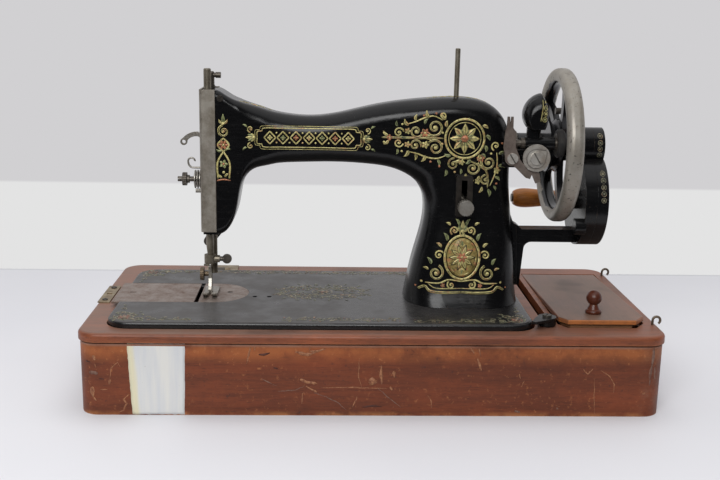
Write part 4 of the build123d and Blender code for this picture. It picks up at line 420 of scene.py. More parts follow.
transfer_paints = [transfer_paint("old_gold", (220, 208, 140), (176, 164, 100), 0.65, 0.5),
                   transfer_paint("old_green", (170, 174, 118), (122, 132, 88), 0.8),
                   transfer_paint("old_coral", (208, 136, 96), (160, 104, 72), 0.8),
                   transfer_paint("old_black", (20, 20, 18), (30, 29, 24), 0.5),
                   transfer_paint("old_ground", (176, 156, 92), (140, 120, 66), 0.75, 0.8)]
rubbed_paints = [transfer_paint("rubbed_gold", (158, 150, 120), (126, 122, 100), 0.95, 0.3),
                 transfer_paint("rubbed_green", (128, 128, 102), (100, 102, 84), 0.95),
                 transfer_paint("rubbed_coral", (168, 120, 96), (130, 98, 80), 0.95),
                 transfer_paint("rubbed_black", (48, 47, 45), (60, 58, 55), 0.4)]
scratch_paints = [flake_paint("bare_wood", (170, 120, 84), (114, 66, 46)),
                  flake_paint("chalky_scratch", (128, 102, 88), (100, 62, 48)),
                  flake_paint("dark_dent", (62, 36, 30), (88, 48, 36))]

wear(wood_case, "base_walls")
wear(wood_top, "base_top")
wear(wood_lid, "lid_panel")
wear(wood_batten, "lid_batten")
wear(wood_hidden, "base_bottom", "well_blocks")
wear(knob_wood, "lid_knob")
wear(grip_wood, "crank_grip")
wear(iron, "arm", "gear_cover", "crank_bracket", "belt_guard", "winder_bracket", "winder_frame")
wear(iron_worn, "crank_arm", "bed_latch", "shuttle_race")
wear(rim_paint(), "handwheel")
wear(iron_bed, "bed")
wear(lock_metal, "lock_plate", "hinge_leaves")
wear(nickel_white, "winder_cam", "winder_screws", "clutch_nut")
wear(nickel, "thread_hook", "tension_discs", "presser_foot", "take_up_lever", "stitch_lever")
wear(nickel_brown, "needle_clamp", "needle_bar", "presser_bar", "spool_pin")
wear(nickel_stained, "winder_guide")
wear(stitch_steel, "stitch_plate", "head_screws")
wear(hook_wire, "case_hooks")
wear(nickel_plate, "face_plate")
wear(rusty_plate, "slide_plate", "needle_plate")
wear(steel, "main_shaft", "shaft_bushings", "crank_spindle", "tension_stud",
     "tension_nut", "pressure_screw", "presser_lifter", "pivot_pins", "clamp_screw", "large_gear",
     "drive_pinion", "oscillating_hook", "bobbin_case", "feed_dog", "hinge_stems", "case_screws",
     "lid_pins")
wear(brass, "foot_screw")
wear(spindle_paint(), "winder_spindle")


# Gold transfers: ribbons of changing width, laid on the iron in lines, leaves and blooms.
class Transfer:
    """Collects ribbons drawn in millimetres on one face of a CAD node."""

    reach = 0.6
    lift = 0.00008
    layer = 0.00003

    def __init__(self, name, node, body, slot="japanned_iron", paints=None, top=False):
        self.name, self.body, self.top = name, body, top
        self.slot, self.paints = slot, paints or transfer_paints
        shape = nodes[node].data
        self.tree = BVHTree.FromPolygons([v.co for v in shape.vertices],
                                         [p.vertices for p in shape.polygons])
        self.points, self.faces, self.tints = [], [], []

    def landed(self, u, v, level=0):
        if self.top:
            start, way = Vector((u * MM, v * MM, self.reach)), Vector((0, 0, -1))
        else:
            start, way = Vector((u * MM, -self.reach, v * MM)), Vector((0, 1, 0))
        place, normal = self.tree.ray_cast(start, way)[:2]
        return None if place is None else place + normal * (self.lift + level * self.layer)

    def ribbon(self, line, widths, tint, level=0):
        rows = []
        for i, (u, v) in enumerate(line):
            (u0, v0), (u1, v1) = line[max(i - 1, 0)], line[min(i + 1, len(line) - 1)]
            length = math.hypot(u1 - u0, v1 - v0) or 1.0
            across = (-(v1 - v0) / length * widths[i] / 2, (u1 - u0) / length * widths[i] / 2)
            row = [self.landed(u + side * across[0], v + side * across[1], level)
                   for side in (1, 0, -1)]
            if None in row:
                return
            rows.append(row)
        first = len(self.points)
        self.points += [point for row in rows for point in row]
        for i in range(len(rows) - 1):
            for j in (0, 1):
                a = first + 3 * i + j
                self.faces.append((a, a + 3, a + 4, a + 1))
                self.tints.append(tint)

    def lay(self):
        mesh = bpy.data.meshes.new(self.name)
        mesh.from_pydata(self.points, [], self.faces)
        for paint in self.paints:
            mesh.materials.append(paint)
        for face, tint in zip(mesh.polygons, self.tints):
            face.material_index = tint
            face.use_smooth = True
        thing = placed(self.name, mesh)
        film = thing.modifiers.new("film", "SOLIDIFY")
        film.thickness = 0.00006
        film.offset = -1.0
        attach(thing, self.body)


GOLD, GREEN, CORAL, BLACK, GROUND = range(5)  # places in transfer_paints


def heading(angle, length=1.0):
    """A step of that length at an angle in degrees."""
    return length * math.cos(math.radians(angle)), length * math.sin(math.radians(angle))


def each(stroke, *rows):
    """Draws a stroke once for each row of its values."""
    for row in rows:
        stroke(*row)


class Pen:
    """Draws motifs on a transfer from its own place, turn and side."""

    def __init__(self, transfer, u, v, turn=0.0, flip=1):
        self.transfer, self.u, self.v, self.flip = transfer, u, v, flip
        self.cos, self.sin = heading(turn)

    def there(self, u, v):
        u *= self.flip
        return self.u + u * self.cos - v * self.sin, self.v + u * self.sin + v * self.cos

    def draw(self, line, widths, tint=GOLD, level=0):
        self.transfer.ribbon([self.there(*p) for p in line], widths, tint, level)

    def vine(self, points, width=0.9, tint=GOLD, taper=0.35, step=5, core=0.0):
        """A smooth line through the points, thinner at both ends, with a black core if asked."""
        line = []
        ends = [points[0]] + list(points) + [points[-1]]
        for i in range(len(points) - 1):
            a, b, c, d = ends[i:i + 4]
            for k in range(step):
                t = k / step
                line.append(tuple(0.5 * (2 * q + (r - p) * t + (2 * p - 5 * q + 4 * r - s) * t * t
                                         + (3 * q - p - 3 * r + s) * t ** 3)
                                  for p, q, r, s in zip(a, b, c, d)))
        line.append(tuple(points[-1]))
        last = len(line) - 1
        widths = [width * (taper + (1 - taper) * math.sin(math.pi * i / last) ** 0.6)
                  for i in range(last + 1)]
        self.draw(line, widths, tint)
        if core:
            self.draw(line, [core * w for w in widths], BLACK, 2)

    def curl(self, u, v, radius, turns, start, width=1.0, tint=GOLD, core=0.0):
        """A volute that winds in from its outer end at an angle, to a dot at its middle."""
        count = max(12, int(16 * abs(turns)))
        line, widths = [], []
        for i in range(count + 1):
            t = i / count
            r = radius * (1 - 0.86 * t ** 0.85)
            angle = math.radians(start) + 2 * math.pi * turns * t
            line.append((u + r * math.cos(angle), v + r * math.sin(angle)))
            widths.append(width * (1.0 - 0.45 * t))
        self.draw(line, widths, tint)
        if core:
            self.draw(line[:-3], [core * w for w in widths[:-3]], BLACK, 2)
        self.dot(u, v, 0.2 * radius)

    def leaf(self, u, v, length, angle, width=None, tint=GREEN, bend=0.18, level=1):
        width = width or 0.36 * length
        way = heading(angle)
        line, widths = [], []
        for i in range(9):
            t = i / 8
            side = bend * length * math.sin(math.pi * t)
            line.append((u + way[0] * length * t - way[1] * side,
                         v + way[1] * length * t + way[0] * side))
            widths.append(0.15 + width * math.sin(math.pi * t ** 0.8))
        self.draw(line, widths, tint, level)
        if length > 4.5 and tint != BLACK:
            self.draw(line[:7], [0.09 * width + 0.12] * 7, BLACK, level + 1)

    def dot(self, u, v, radius, tint=GOLD):
        stations = (-0.98, -0.8, -0.45, 0.0, 0.45, 0.8, 0.98)
        self.draw([(u + radius * s, v) for s in stations],
                  [2 * radius * math.sqrt(1 - s * s) for s in stations], tint, 3)

    def ring(self, u, v, radius, width=0.7, tall=1.0, count=28):
        steps = [heading(360 / count * i, radius) for i in range(count + 1)]
        self.draw([(u + right, v + tall * up) for right, up in steps], [width] * len(steps))

    def bloom(self, u, v, radius, petals=6, tint=CORAL, heart=GOLD, turn=0.0, level=1):
        for i in range(petals):
            angle = turn + 360 / petals * i
            right, up = heading(angle, 0.22 * radius)
            self.leaf(u + right, v + up, 0.8 * radius, angle, 0.95 * radius * 3.2 / petals,
                      tint, 0.0, level)
        self.dot(u, v, 0.24 * radius, heart)

    def beads(self, radius, size, tall=1.0, count=26):
        """Black and coral dots around a ring."""
        for i in range(count):
            right, up = heading(360 / count * i, radius)
            self.dot(right, tall * up, size, (BLACK, CORAL)[i % 2])


def palmette(pen, u, v, angle, size, spread=26, count=5):
    for i in range(count):
        lean = (i - (count - 1) / 2) * spread
        pen.leaf(u, v, size * (1.0 - 0.008 * abs(lean)), angle + lean,
                 tint=(GOLD, GREEN)[i % 2], bend=0.004 * lean)
    pen.dot(u, v, 0.16 * size)


def spray(pen):
    """A corner spray that runs along +u and a little along +v."""
    pen.bloom(9, 9, 6.2, 7)
    pen.ring(9, 9, 7.6, 0.6)
    each(pen.curl, (21, 6, 5.2, 1.4, 180), (5, 22, 5.0, -1.4, -90), (34, 4.5, 3.8, -1.3, 170),
         (3.5, 34, 3.4, 1.3, -80))
    for u, v, length, angle in ((16, 13, 6, 35), (13, 17, 6, 60), (27, 9, 5, 40), (40, 4, 6, 8),
                                (46, 3.5, 5, 0), (4, 40, 5, 85), (20, 0.5, 5, -10),
                                (29, 1, 4, 12)):
        pen.leaf(u, v, length, angle, tint=(GREEN, GOLD)[int(u) % 2])
    pen.vine([(40, 2), (48, 4), (56, 2), (64, 3)], 0.7)
    for u, v in ((17, 17), (52, 5), (60, 4), (2, 46), (31, 10), (66, 3)):
        pen.dot(u, v, 0.8)


def border(transfer, start, end, v, height, pitch):
    """A running wave of curls and leaves with dots between them."""
    count = max(1, round((end - start) / pitch))
    pitch = (end - start) / count
    for i in range(count):
        side = 1 if i % 2 else -1
        pen = Pen(transfer, start + (i + 0.5) * pitch, v, flip=side)
        pen.vine([(side * along * pitch, side * above * height)
                  for along, above in ((-0.5, -0.1), (-0.2, 0.34), (0.2, 0.3), (0.5, 0.1))], 0.7)
        pen.curl(0, -side * 0.12 * height, 0.3 * height, 1.2, 90 * side, 0.7)
        pen.leaf(0.24 * pitch, side * 0.3 * height, 0.34 * height, 25 * side)
        pen.dot(0.36 * pitch, -side * 0.34 * height, 0.07 * height, CORAL)


arm_art = Transfer("transfer_arm", "arm", "head")

# Panel of lozenges along the arm, closed by palmettes.
panel_u, panel_v = -58.5, 229.0
panel = Pen(arm_art, panel_u, panel_v)
half, rise = 46.0, 8.4
for grow, thick in ((0.0, 0.8), (1.8, 0.4)):
    for side in (1, -1):
        h, r = half + grow, rise + grow
        outline = [(-h, 0.1), (-h, r * 0.62), (-h + 4, r * 0.7), (-h + 6, r), (-h + 20, r),
                   (-h / 3, r)]
        outline += [(0, r)] + [(-u, v) for u, v in reversed(outline)]
        panel.vine([(u, side * v) for u, v in outline], thick, taper=0.9, step=4)
lozenges, pitch = 7, 11.6
for i in range(lozenges):
    u = (i - (lozenges - 1) / 2) * pitch
    corners = ((u - 5.2, 0), (u, 5.6), (u + 5.2, 0), (u, -5.6), (u - 5.2, 0))
    for a, b in zip(corners, corners[1:]):
        panel.vine([a, ((a[0] + b[0]) / 2, (a[1] + b[1]) / 2), b], 1.2, taper=0.8)
    panel.bloom(u, 0, 2.4, 4, (GOLD, GREEN, CORAL)[i % 3])
    if i:
        each(panel.dot, (u - pitch / 2, 4.4, 0.8), (u - pitch / 2, -4.4, 0.8))
for side in (1, -1):
    end = Pen(arm_art, panel_u + side * (half + 3), panel_v, flip=side)
    palmette(end, 0, 0, 0, 7.5)
    each(end.curl, (3, 7.5, 3.0, 1.3, -90), (3, -7.5, 3.0, -1.3, 90))
    each(end.leaf, (6, 9, 4.5, 30), (6, -9, 4.5, -30))

# Rosette on the shoulder in a leafy wreath, with volutes and twigs that run to the panel.
rose = Pen(arm_art, 80.0, 231.0)
wreath_radius = 17.4
rose.ring(0, 0, wreath_radius, 1.9, count=40)
rose.ring(0, 0, 14.4, 0.6)
rose.beads(wreath_radius, 0.42)
for i in range(13):
    angle = 360 / 13 * i + 10
    u, v = heading(angle, wreath_radius + 1.6)
    if v < 12 and u > -16.5:
        rose.leaf(u, v, 6.0, angle - 62, 2.9, (GREEN, GOLD)[i % 2])
each(rose.bloom, (0, 0, 13.2, 8, GOLD, CORAL), (0, 0, 8.6, 8, GREEN, CORAL, 22.5),
     (0, 0, 4.4, 6, CORAL, GOLD))
volutes = (
    (-27, 9.5, 8.4, 1.6, 215, 2.1), (-26, -8.5, 7.6, -1.6, 145, 2.0),
    (-43.5, 6, 6.6, -1.5, 15, 1.8), (-44, -6.5, 5.6, 1.5, -15, 1.7),
    (22, -21, 7.4, 1.6, 130, 2.0), (8, -26.5, 6.6, -1.5, 50, 1.9), (-9.5, -23, 5.6, 1.5, 80, 1.6),
    (-59, 4.5, 4.8, 1.4, 10, 1.5), (-59, -4.5, 4.4, -1.4, -10, 1.4), (20, -37, 5.0, 1.4, 90, 1.6),
    (28, -6, 4.4, -1.3, 250, 1.4), (-20.5, 20, 3.4, 1.3, -60, 1.2))
for u, v, radius, turns, start, width in volutes:
    rose.curl(u, v, radius, turns, start, width, core=0.3 if width > 1.5 else 0.0)
rose.vine([(-74, 0), (-64, 0), (-51, 0), (-36, 0), (-19, 0)], 1.9, core=0.3)
rose.vine([(-52, 12), (-44, 14.5), (-36, 18), (-28, 19.5), (-20, 16)], 1.3)
rose.vine([(-52, -12), (-42, -14), (-34, -17), (-24, -18), (-14, -14)], 1.3)
rose.vine([(3, -19), (14, -24), (21, -30), (22, -44)], 1.7, core=0.3)
rose.vine([(29, -12), (30, -22), (28, -32), (24, -42)], 1.2)
twigs = (
    (-17, 17, 7, 130), (-32, 18, 7, 110), (-36, 12, 6, 60), (-35, -15, 7, 240), (-24, -19, 6, 285),
    (-50, 11, 7, 125), (-50, -11, 7, 235), (-44, 15, 6, 80), (-44, -14, 6, 270), (-68, 2, 6, 140),
    (-68, -2, 6, 220), (-52, 0, 5, 160), (-35, 0, 5, 25), (-35, 0, 5, -25), (31, -14, 7, 10),
    (31, -24, 7, -20), (28, -34, 6, -35), (2, -31, 6, -120), (14, -33, 6, -125), (22, -45, 7, -75),
    (17, -43, 6, -120), (-16, -28, 6, -100), (-3, -27, 5, -90), (-60, 10, 5, 100),
    (-60, -10, 5, 260), (27, -42, 5, -60), (15, -14, 5, -30))
for u, v, length, angle in twigs:
    rose.leaf(u, v, length, angle, 0.42 * length, (GREEN, GREEN, GOLD)[int(abs(u)) % 3])
for u, v, radius, petals in (
        (-35.5, 4.5, 4.2, 6), (-35, -6, 3.6, 5), (15, -17, 3.8, 6), (30, -28, 3.4, 5),
        (-51, 6, 3.0, 5), (-51, -6, 3.0, 5), (-67, 0, 2.8, 4), (-2, -21, 3.0, 5),
        (13, -38, 3.0, 5)):
    rose.bloom(u, v, radius, petals, (CORAL, GOLD)[petals % 2])
for u, v in ((-20, 5), (-20, -5), (-37, 20), (-30, -21), (34, -4), (35, -18), (8, -37),
             (30, -40), (-22, -25), (-8, -30), (-72, 4), (-72, -4), (24, -13), (-56, 12),
             (-56, -12), (-26, 22)):
    rose.dot(u, v, 1.0, CORAL if u % 4 else GOLD)

# Garland down the nose of the head.
nose = Pen(arm_art, -134.4, 219.0)
palmette(nose, 0, 22, 90, 8.5, 44, 3)
nose.curl(0.4, 15, 5.6, 1.5, 100, 2.0, core=0.3)
for side in (1, -1):
    nose.vine([(0, 9), (side * 5, 3), (0, -3)], 1.5, taper=0.8)
    nose.vine([(0, -3), (side * 5.4, -13), (side * 5.0, -27)], 1.6, taper=0.8)
    nose.leaf(side * 1.0, -2, 5.5, 90 - side * 78)
    nose.leaf(side * 1.0, -26, 5.0, 90 - side * 50, tint=GOLD)
nose.bloom(0, 3, 4.6, 6)
nose.bloom(0, -14, 4.0, 5, GREEN, CORAL)
nose.vine([(-6, -29), (0, -28), (6, -29)], 1.3, CORAL, 0.8)
nose.dot(0, -21.5, 1.2)

# Oval medallion on the pillar, a rosette in a beaded frame on a scrolled foot.
oval_place, oval_radius, oval_height = (81.1, 123.5), 15.8, 19.9
oval = Pen(arm_art, *oval_place)
oval.ring(0, 0, oval_radius, 2.2, tall=1.26, count=40)
oval.ring(0, 0, 12.6, 0.7, tall=1.26, count=40)
oval.beads(oval_radius, 0.5, oval_height / oval_radius)
heights = [-17.6 + 35.2 * i / 20 for i in range(21)]
oval.draw([(0, v) for v in heights],
          [28.0 * math.sqrt(1.0 - (v / 17.8) ** 2) for v in heights], GROUND)
oval.bloom(0, 0, 12.2, 10, BLACK, CORAL)
oval.bloom(0, 0, 10.6, 10, GOLD, CORAL, level=3)
oval.bloom(0, 0, 4.8, 6, CORAL, GOLD, level=5)
for v, angle in ((10.5, 90), (-10.5, -90)):
    palmette(oval, 0, v, angle, 5.0, 50, 3)
palmette(oval, 0, 24, 90, 10.0)
oval.curl(0, 22, 3.0, 1.2, 90, 1.2)
for side in (1, -1):
    wing = Pen(arm_art, *oval_place, flip=side)
    each(wing.curl, (7.4, 24.5, 4.2, 1.5, -60, 1.5), (21.0, 2, 4.4, -1.4, 150, 1.4),
         (23.5, -14.5, 7.4, 1.6, 110, 2.2, GOLD, 0.3), (9.5, -25.2, 3.8, -1.4, 60, 1.5))
    each(wing.leaf, (14, 15, 8, 66, 3.2), (19, 9, 6, 40, 2.6, GOLD), (28, -7, 7, 62, 3.0),
         (30, -12, 5, 20, 2.2, GOLD), (3.5, 29, 7, 62, 2.6), (11, 29, 5, 30, 2.2, GOLD))
    wing.vine([(0, -22), (12, -20.5), (20, -23.5), (33, -23.5)], 1.5)
    wing.vine([(0, -31.5), (14, -32), (28, -31), (33, -27), (39, -30)], 2.2, taper=0.6, core=0.3)
    wing.vine([(0, -28), (12, -28.4), (24, -28), (30, -24.5)], 0.9)
    wing.bloom(17, -25.6, 2.2, 5)
    each(wing.dot, (36, -23, 1.0), (41, -28, 0.8, CORAL))
arm_art.lay()

# Rubbed marks on top of the arm.
top_art = Transfer("transfer_arm_top", "arm", "head", top=True)
for u, v, turn in ((-108, -14, 20), (62, -12, 0), (92, -12, 180)):
    crest = Pen(top_art, u, v, turn)
    crest.bloom(0, 0, 4.4, 6, GOLD, CORAL)
    for side in (1, -1):
        crest.curl(side * 8, 0.5, 3.6, side * 1.4, 90, 1.2)
        crest.leaf(side * 5, 3, 5, 90 - side * 50)
        crest.leaf(side * 11, -2, 5, 90 - side * 110, tint=GOLD)
top_art.lay()

# Sprays, borders and the middle garland of the bed.
bed_art = Transfer("transfer_bed", "bed", "head", paints=rubbed_paints, top=True)
bed_low, bed_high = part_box("bed")
low, front, high, rear = (value * 1000 for value in (*bed_low.xy, *bed_high.xy))
bed_corners = ((low + 6, front + 5, 0, 1), (high - 6, front + 5, 0, -1),
               (low + 6, rear - 5, 180, -1), (high - 6, rear - 5, 180, 1))
for u, v, turn, flip in bed_corners:
    spray(Pen(bed_art, u, v, turn, flip))
border(bed_art, -156, 70, rear - 10, 11, 13.5)
border(bed_art, -80, 24, front + 12, 11, 13.0)
border(bed_art, 34, 70, front + 9, 9, 12.0)
garland_place = -45.5, -3.5
for side in (1, -1):
    for turn, flip in ((0, side), (180, -side)):
        garland = Pen(bed_art, *garland_place, turn, flip)
        garland.vine([(2, 9), (14, 13), (26, 8), (38, 10), (45, 4)], 0.9)
        each(garland.curl, (14, 20, 5.6, 1.5, -60), (29, 15, 5.0, -1.5, -120),
             (39, 5, 3.6, 1.3, 120))
        for u, v, length, angle in ((6, 13, 6, 60), (20, 14, 6, 30), (34, 18, 6, 50),
                                    (43, 8, 5, 30), (8, 24, 6, 100), (22, 24, 5, 60),
                                    (12, 6, 5, -20), (26, 3, 5, 10)):
            garland.leaf(u, v, length, angle, tint=(GREEN, GOLD)[u % 2])
        each(garland.dot, (18, 8, 0.9, CORAL), (33, 11, 0.9))
middle = Pen(bed_art, *garland_place)
middle.ring(0, 0, 9.5, 0.8)
middle.bloom(0, 0, 7.6, 8, GOLD, CORAL)
middle.bloom(0, 0, 4.2, 6, CORAL, GOLD, 30)
hand = random.Random(7)


def filigree(pen, count, place):
    """Small leaves and dots at random places fill a motif, as on the rubbed original."""
    for i in range(count):
        u, v, angle = place()
        pen.leaf(u, v, hand.uniform(2.6, 4.4), angle + hand.uniform(-70, 70), 1.5,
                 (GREEN, GOLD, GREEN)[i % 3], 0.3)
        if i % 4 == 0:
            pen.dot(u + hand.uniform(-3, 3), v + hand.uniform(-3, 3), 0.6,
                    (GOLD, CORAL)[i % 8 == 0])


def around():
    """Draws a place in an oval around the middle, and the angle along it."""
    a, share = hand.uniform(0, 2 * math.pi), hand.uniform(0.45, 1.0)
    return 44 * share * math.cos(a), 25 * share * math.sin(a), math.degrees(a) + 90


def within(*ranges):
    """A function that draws u, v and an angle, each from its own range."""
    return lambda: [hand.uniform(*ends) for ends in ranges]


filigree(middle, 110, around)
for u, v, turn, flip in bed_corners:
    corner = Pen(bed_art, u, v, turn, flip)
    filigree(corner, 34, within((0.5, 24), (0.5, 24), (0, 360)))
    filigree(corner, 20, within((22, 66), (0.5, 9), (-30, 60)))
whole_bed = Pen(bed_art, 0, 0)
filigree(whole_bed, 90, within((-150, 66), (rear - 16, rear - 3), (0, 180)))
filigree(whole_bed, 34, within((-78, 22), (front + 6, front + 17), (0, 180)))
bed_art.lay()


def chain(transfer, places, radius):
    """A chain of small rings with a bloom in each."""
    for i, (u, v) in enumerate(places):
        pen = Pen(transfer, u, v)
        pen.ring(0, 0, radius, 0.4, count=18)
        pen.bloom(0, 0, 0.6 * radius, 4, (GOLD, GREEN)[i % 2], turn=45)


cover_art = Transfer("transfer_gear_cover", "gear_cover", "head", paints=rubbed_paints)
chain(cover_art, [(204.4, 233.5 - 5.6 * i) for i in range(4)], 2.1)
chain(cover_art, [(204.4, 202.0 - 5.6 * i) for i in range(5)], 2.1)
cover_art.lay()

hood_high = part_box("belt_guard")[1]
hood_art = Transfer("transfer_belt_guard", "belt_guard", "head")
hood_right = hood_high.x * 1000 - 4.4
hood_top = hood_high.z * 1000
chain(hood_art, [(hood_right - 0.9 * i * i / 8, hood_top - 7.0 - 4.9 * i) for i in range(4)], 1.9)
for shift, width in ((2.9, 0.7), (-2.9, 0.5)):
    Pen(hood_art, hood_right + shift, hood_top).vine(
        [(0, -5), (-0.2, -12), (-0.9, -18), (-1.6, -23)], width, taper=0.9)
hood_art.lay()

# Scratches, bare patches and dents on the case front, as widths and places in millimetres.
PALE, GREY, DARK = 0, 1, 2
front_marks = [
    (PALE, 2.6, [(-237.9, 53.2), (-237.0, 51.1), (-236.4, 49.1)]),
    (PALE, 0.7, [(-237.0, 46.6), (-235.8, 42.4)]),
    (GREY, 3.4, [(-241.9, 37.5), (-238.2, 38.2), (-234.4, 37.4)]),
    (DARK, 1.8, [(-244.9, 47.7), (-240.7, 47.4)]),
    (DARK, 1.6, [(-233.7, 32.9), (-229.6, 32.2)]),
    (PALE, 0.9, [(-215.2, 43.1), (-217.5, 47.5), (-220.7, 44.7), (-223.3, 42.0), (-224.0, 34.4),
                 (-224.8, 30.8)]),
    (PALE, 2.6, [(-224.4, 32.6), (-225.1, 27.7)]),
    (PALE, 0.8, [(-232.7, 23.2), (-226.6, 22.9)]),
    (PALE, 3.8, [(-238.9, 25.5), (-240.0, 20.1), (-239.0, 15.7)]),
    (PALE, 1.5, [(-239.0, 16.3), (-236.6, 12.6)]),
    (PALE, 1.4, [(-208.4, 18.7), (-213.7, 14.2), (-210.7, 10.4), (-214.0, 4.3), (-218.2, 2.1)]),
    (PALE, 1.5, [(-105.5, 63.4), (-107.1, 54.7), (-109.1, 46.5)]),
    (PALE, 1.4, [(-101.9, 64.1), (-102.1, 58.8)]),
    (DARK, 2.2, [(-98.3, 55.3), (-94.1, 54.8), (-89.1, 56.6)]),
    (DARK, 1.8, [(-86.1, 43.2), (-82.3, 42.7)]),
    (PALE, 3.0, [(-67.6, 57.9), (-61.2, 55.9), (-55.2, 55.4), (-50.2, 57.6)]),
    (PALE, 1.6, [(-56.1, 57.8), (-48.5, 58.7), (-42.2, 60.5)]),
    (PALE, 1.2, [(-55.7, 64.0), (-55.4, 59.1)]),
    (PALE, 3.4, [(-63.6, 32.9), (-58.5, 30.7), (-48.9, 29.3)]),
    (PALE, 1.7, [(-58.8, 27.1), (-54.3, 24.1), (-49.0, 21.2)]),
    (GREY, 0.9, [(-96.7, 33.3), (-90.0, 30.0), (-83.6, 27.0)]),
    (GREY, 0.7, [(-83.0, 21.9), (-66.9, 23.3), (-59.7, 27.1)]),
    (GREY, 0.9, [(-51.2, 20.8), (-41.3, 17.2), (-30.7, 11.9), (-23.6, 5.0)]),
    (PALE, 0.9, [(-61.3, 20.7), (-62.0, 10.5)]),
    (PALE, 0.8, [(-13.4, 52.1), (-13.8, 36.3), (-10.5, 25.5)]),
    (PALE, 0.8, [(-45.3, 25.4), (-20.8, 25.9), (11.2, 24.9)]),
    (PALE, 1.1, [(-14.5, 17.1), (-18.6, 7.5)]),
    (PALE, 6.5, [(-4.7, 31.6), (2.2, 31.2)]),
    (PALE, 3.0, [(5.9, 45.2), (5.6, 38.3), (6.2, 28.8)]),
    (PALE, 3.2, [(16.5, 41.1), (17.2, 35.2)]),
    (PALE, 2.6, [(13.6, 26.6), (15.6, 23.5)]),
    (GREY, 0.9, [(3.4, 24.9), (13.7, 16.0), (23.2, 7.7)]),
    (PALE, 0.9, [(46.4, 18.7), (49.1, 14.9), (49.8, 7.1)]),
    (DARK, 1.6, [(-10.2, 7.8), (-1.6, 8.9), (7.0, 8.6)]),
    (PALE, 1.6, [(81.1, 63.7), (84.6, 57.1)]),
    (PALE, 2.0, [(87.7, 52.4), (91.6, 41.9)]),
    (PALE, 1.2, [(88.1, 63.6), (90.4, 54.5)]),
    (PALE, 0.9, [(129.4, 32.8), (126.6, 27.0)]),
    (PALE, 0.7, [(124.7, 38.7), (125.5, 34.8)]),
    (PALE, 1.1, [(179.6, 43.4), (183.8, 39.1), (187.9, 43.8)]),
    (PALE, 0.8, [(194.9, 42.5), (203.1, 37.2), (207.4, 29.9), (207.5, 21.8)]),
    (PALE, 0.6, [(189.8, 35.1), (190.8, 19.2), (192.2, 2.6)]),
    (GREY, 1.6, [(158.3, 7.6), (160.1, 7.0)]),
    (GREY, 2.4, [(122.1, 4.7), (126.9, 3.9)]),
    (GREY, 3.2, [(232.6, 64.5), (238.3, 63.8), (240.8, 61.3)]),
    (GREY, 3.0, [(239.6, 63.3), (239.9, 56.1), (239.3, 47.0)]),
    (GREY, 2.2, [(239.1, 48.8), (238.3, 39.7), (238.4, 28.7)]),
    (GREY, 1.6, [(241.9, 45.2), (243.2, 34.2)]),
    (PALE, 1.8, [(234.9, 22.2), (232.9, 20.9)]),
    ]


def rough_line(line, step=2.2, shake=0.25):
    """The line with more points, each a little off it, as a scratch is."""
    points = []
    for (a, b), (c, d) in zip(line, line[1:]):
        count = max(2, round(math.hypot(c - a, d - b) / step))
        points += [(a + (c - a) * i / count + hand.uniform(-shake, shake),
                    b + (d - b) * i / count + hand.uniform(-shake, shake)) for i in range(count)]
    return points + [line[-1]]


front_wear = Transfer("case_scratches", "base_walls", "case", "mahogany", scratch_paints)
for tint, width, line in front_marks:
    points = rough_line(line)
    last = len(points) - 1
    widths = [width * (0.25 + 0.75 * math.sin(math.pi * (i + 0.35) / (last + 0.7))) *
              hand.uniform(0.65, 1.3) for i in range(last + 1)]
    front_wear.ribbon(points, widths, tint)
front_wear.lay()


# The strip of white paint brushed down the case front, yellowed along its left edge.
def brushed_paint():
    paint = Paint("brushed_white_paint")
    hairs = paint.noise(150.0, paint.stretch(4.0, 1.0, 0.12), detail=5.0, rough=0.65)
    broad = paint.noise(42.0, paint.stretch(3.0, 1.0, 0.25, 2.4), detail=3.0)
    speck = paint.noise(420.0, detail=3.0)
    slant = paint.maths("SUBTRACT", paint.axes[0], paint.both(paint.axes[2], -0.07))
    aged = paint.maths("ADD", slant, paint.span(hairs, 0.3, 0.7, -0.0012, 0.0012))
    yellow = paint.span(aged, -0.2015, -0.1985, 1.0, 0.0)
    base = paint.mix(paint.span(broad, 0.35, 0.65), colour(208, 210, 212), colour(222, 221, 216))
    base = paint.tint(base, (222, 214, 178), yellow, 0.85)
    base = paint.tint(base, (150, 140, 128), paint.span(speck, 0.7, 0.76, 0.0, 0.35))
    return paint.finish(base, paint.span(hairs, 0.3, 0.7, 0.42, 0.6), height=hairs, strength=0.25,
                        distance=0.0003)


patch_top, patch_foot, patch_left, patch_right = 64.3, 0.6, -209.3, -160.6
patch_rows, patch_columns = 24, 16
white_strip = Transfer("white_paint_strip", "base_walls", "case", "mahogany", [brushed_paint()])
white_strip.lift = 0.00012
for row in range(patch_rows + 1):
    share = row / patch_rows
    left = patch_left + 3.0 * share + hand.uniform(-0.25, 0.25)
    right = patch_right - 1.4 * share + hand.uniform(-0.2, 0.2)
    height = patch_top + (patch_foot - patch_top) * share
    for column in range(patch_columns + 1):
        ragged = hand.uniform(-0.3, 0.3) if row in (0, patch_rows) else 0.0
        white_strip.points.append(white_strip.landed(
            left + (right - left) * column / patch_columns, height + ragged))
for row in range(patch_rows):
    for column in range(patch_columns):
        first = row * (patch_columns + 1) + column
        below = first + patch_columns + 1
        white_strip.faces.append((first, first + 1, below + 1, below))
        white_strip.tints.append(0)
white_strip.lay()


# The table top, cut off where it doesn't show, so that the iron doesn't mirror it.
def table_paint():
    paint = Paint("pale_table")
    cloud = paint.noise(2.2, detail=3.0)
    grain = paint.noise(160.0, detail=2.0)
    base = paint.mix(paint.span(cloud, 0.3, 0.7), colour(226, 226, 229), colour(220, 220, 224))
    # A painted shadow line where the table meets the wall.
    line = paint.span(paint.axes[1], 0.3585, 0.3640)
    base = paint.tint(base, (188, 190, 192), line, 0.45)
    return paint.finish(base, 0.6, height=grain, strength=0.02, distance=0.0001, specular=0.2)


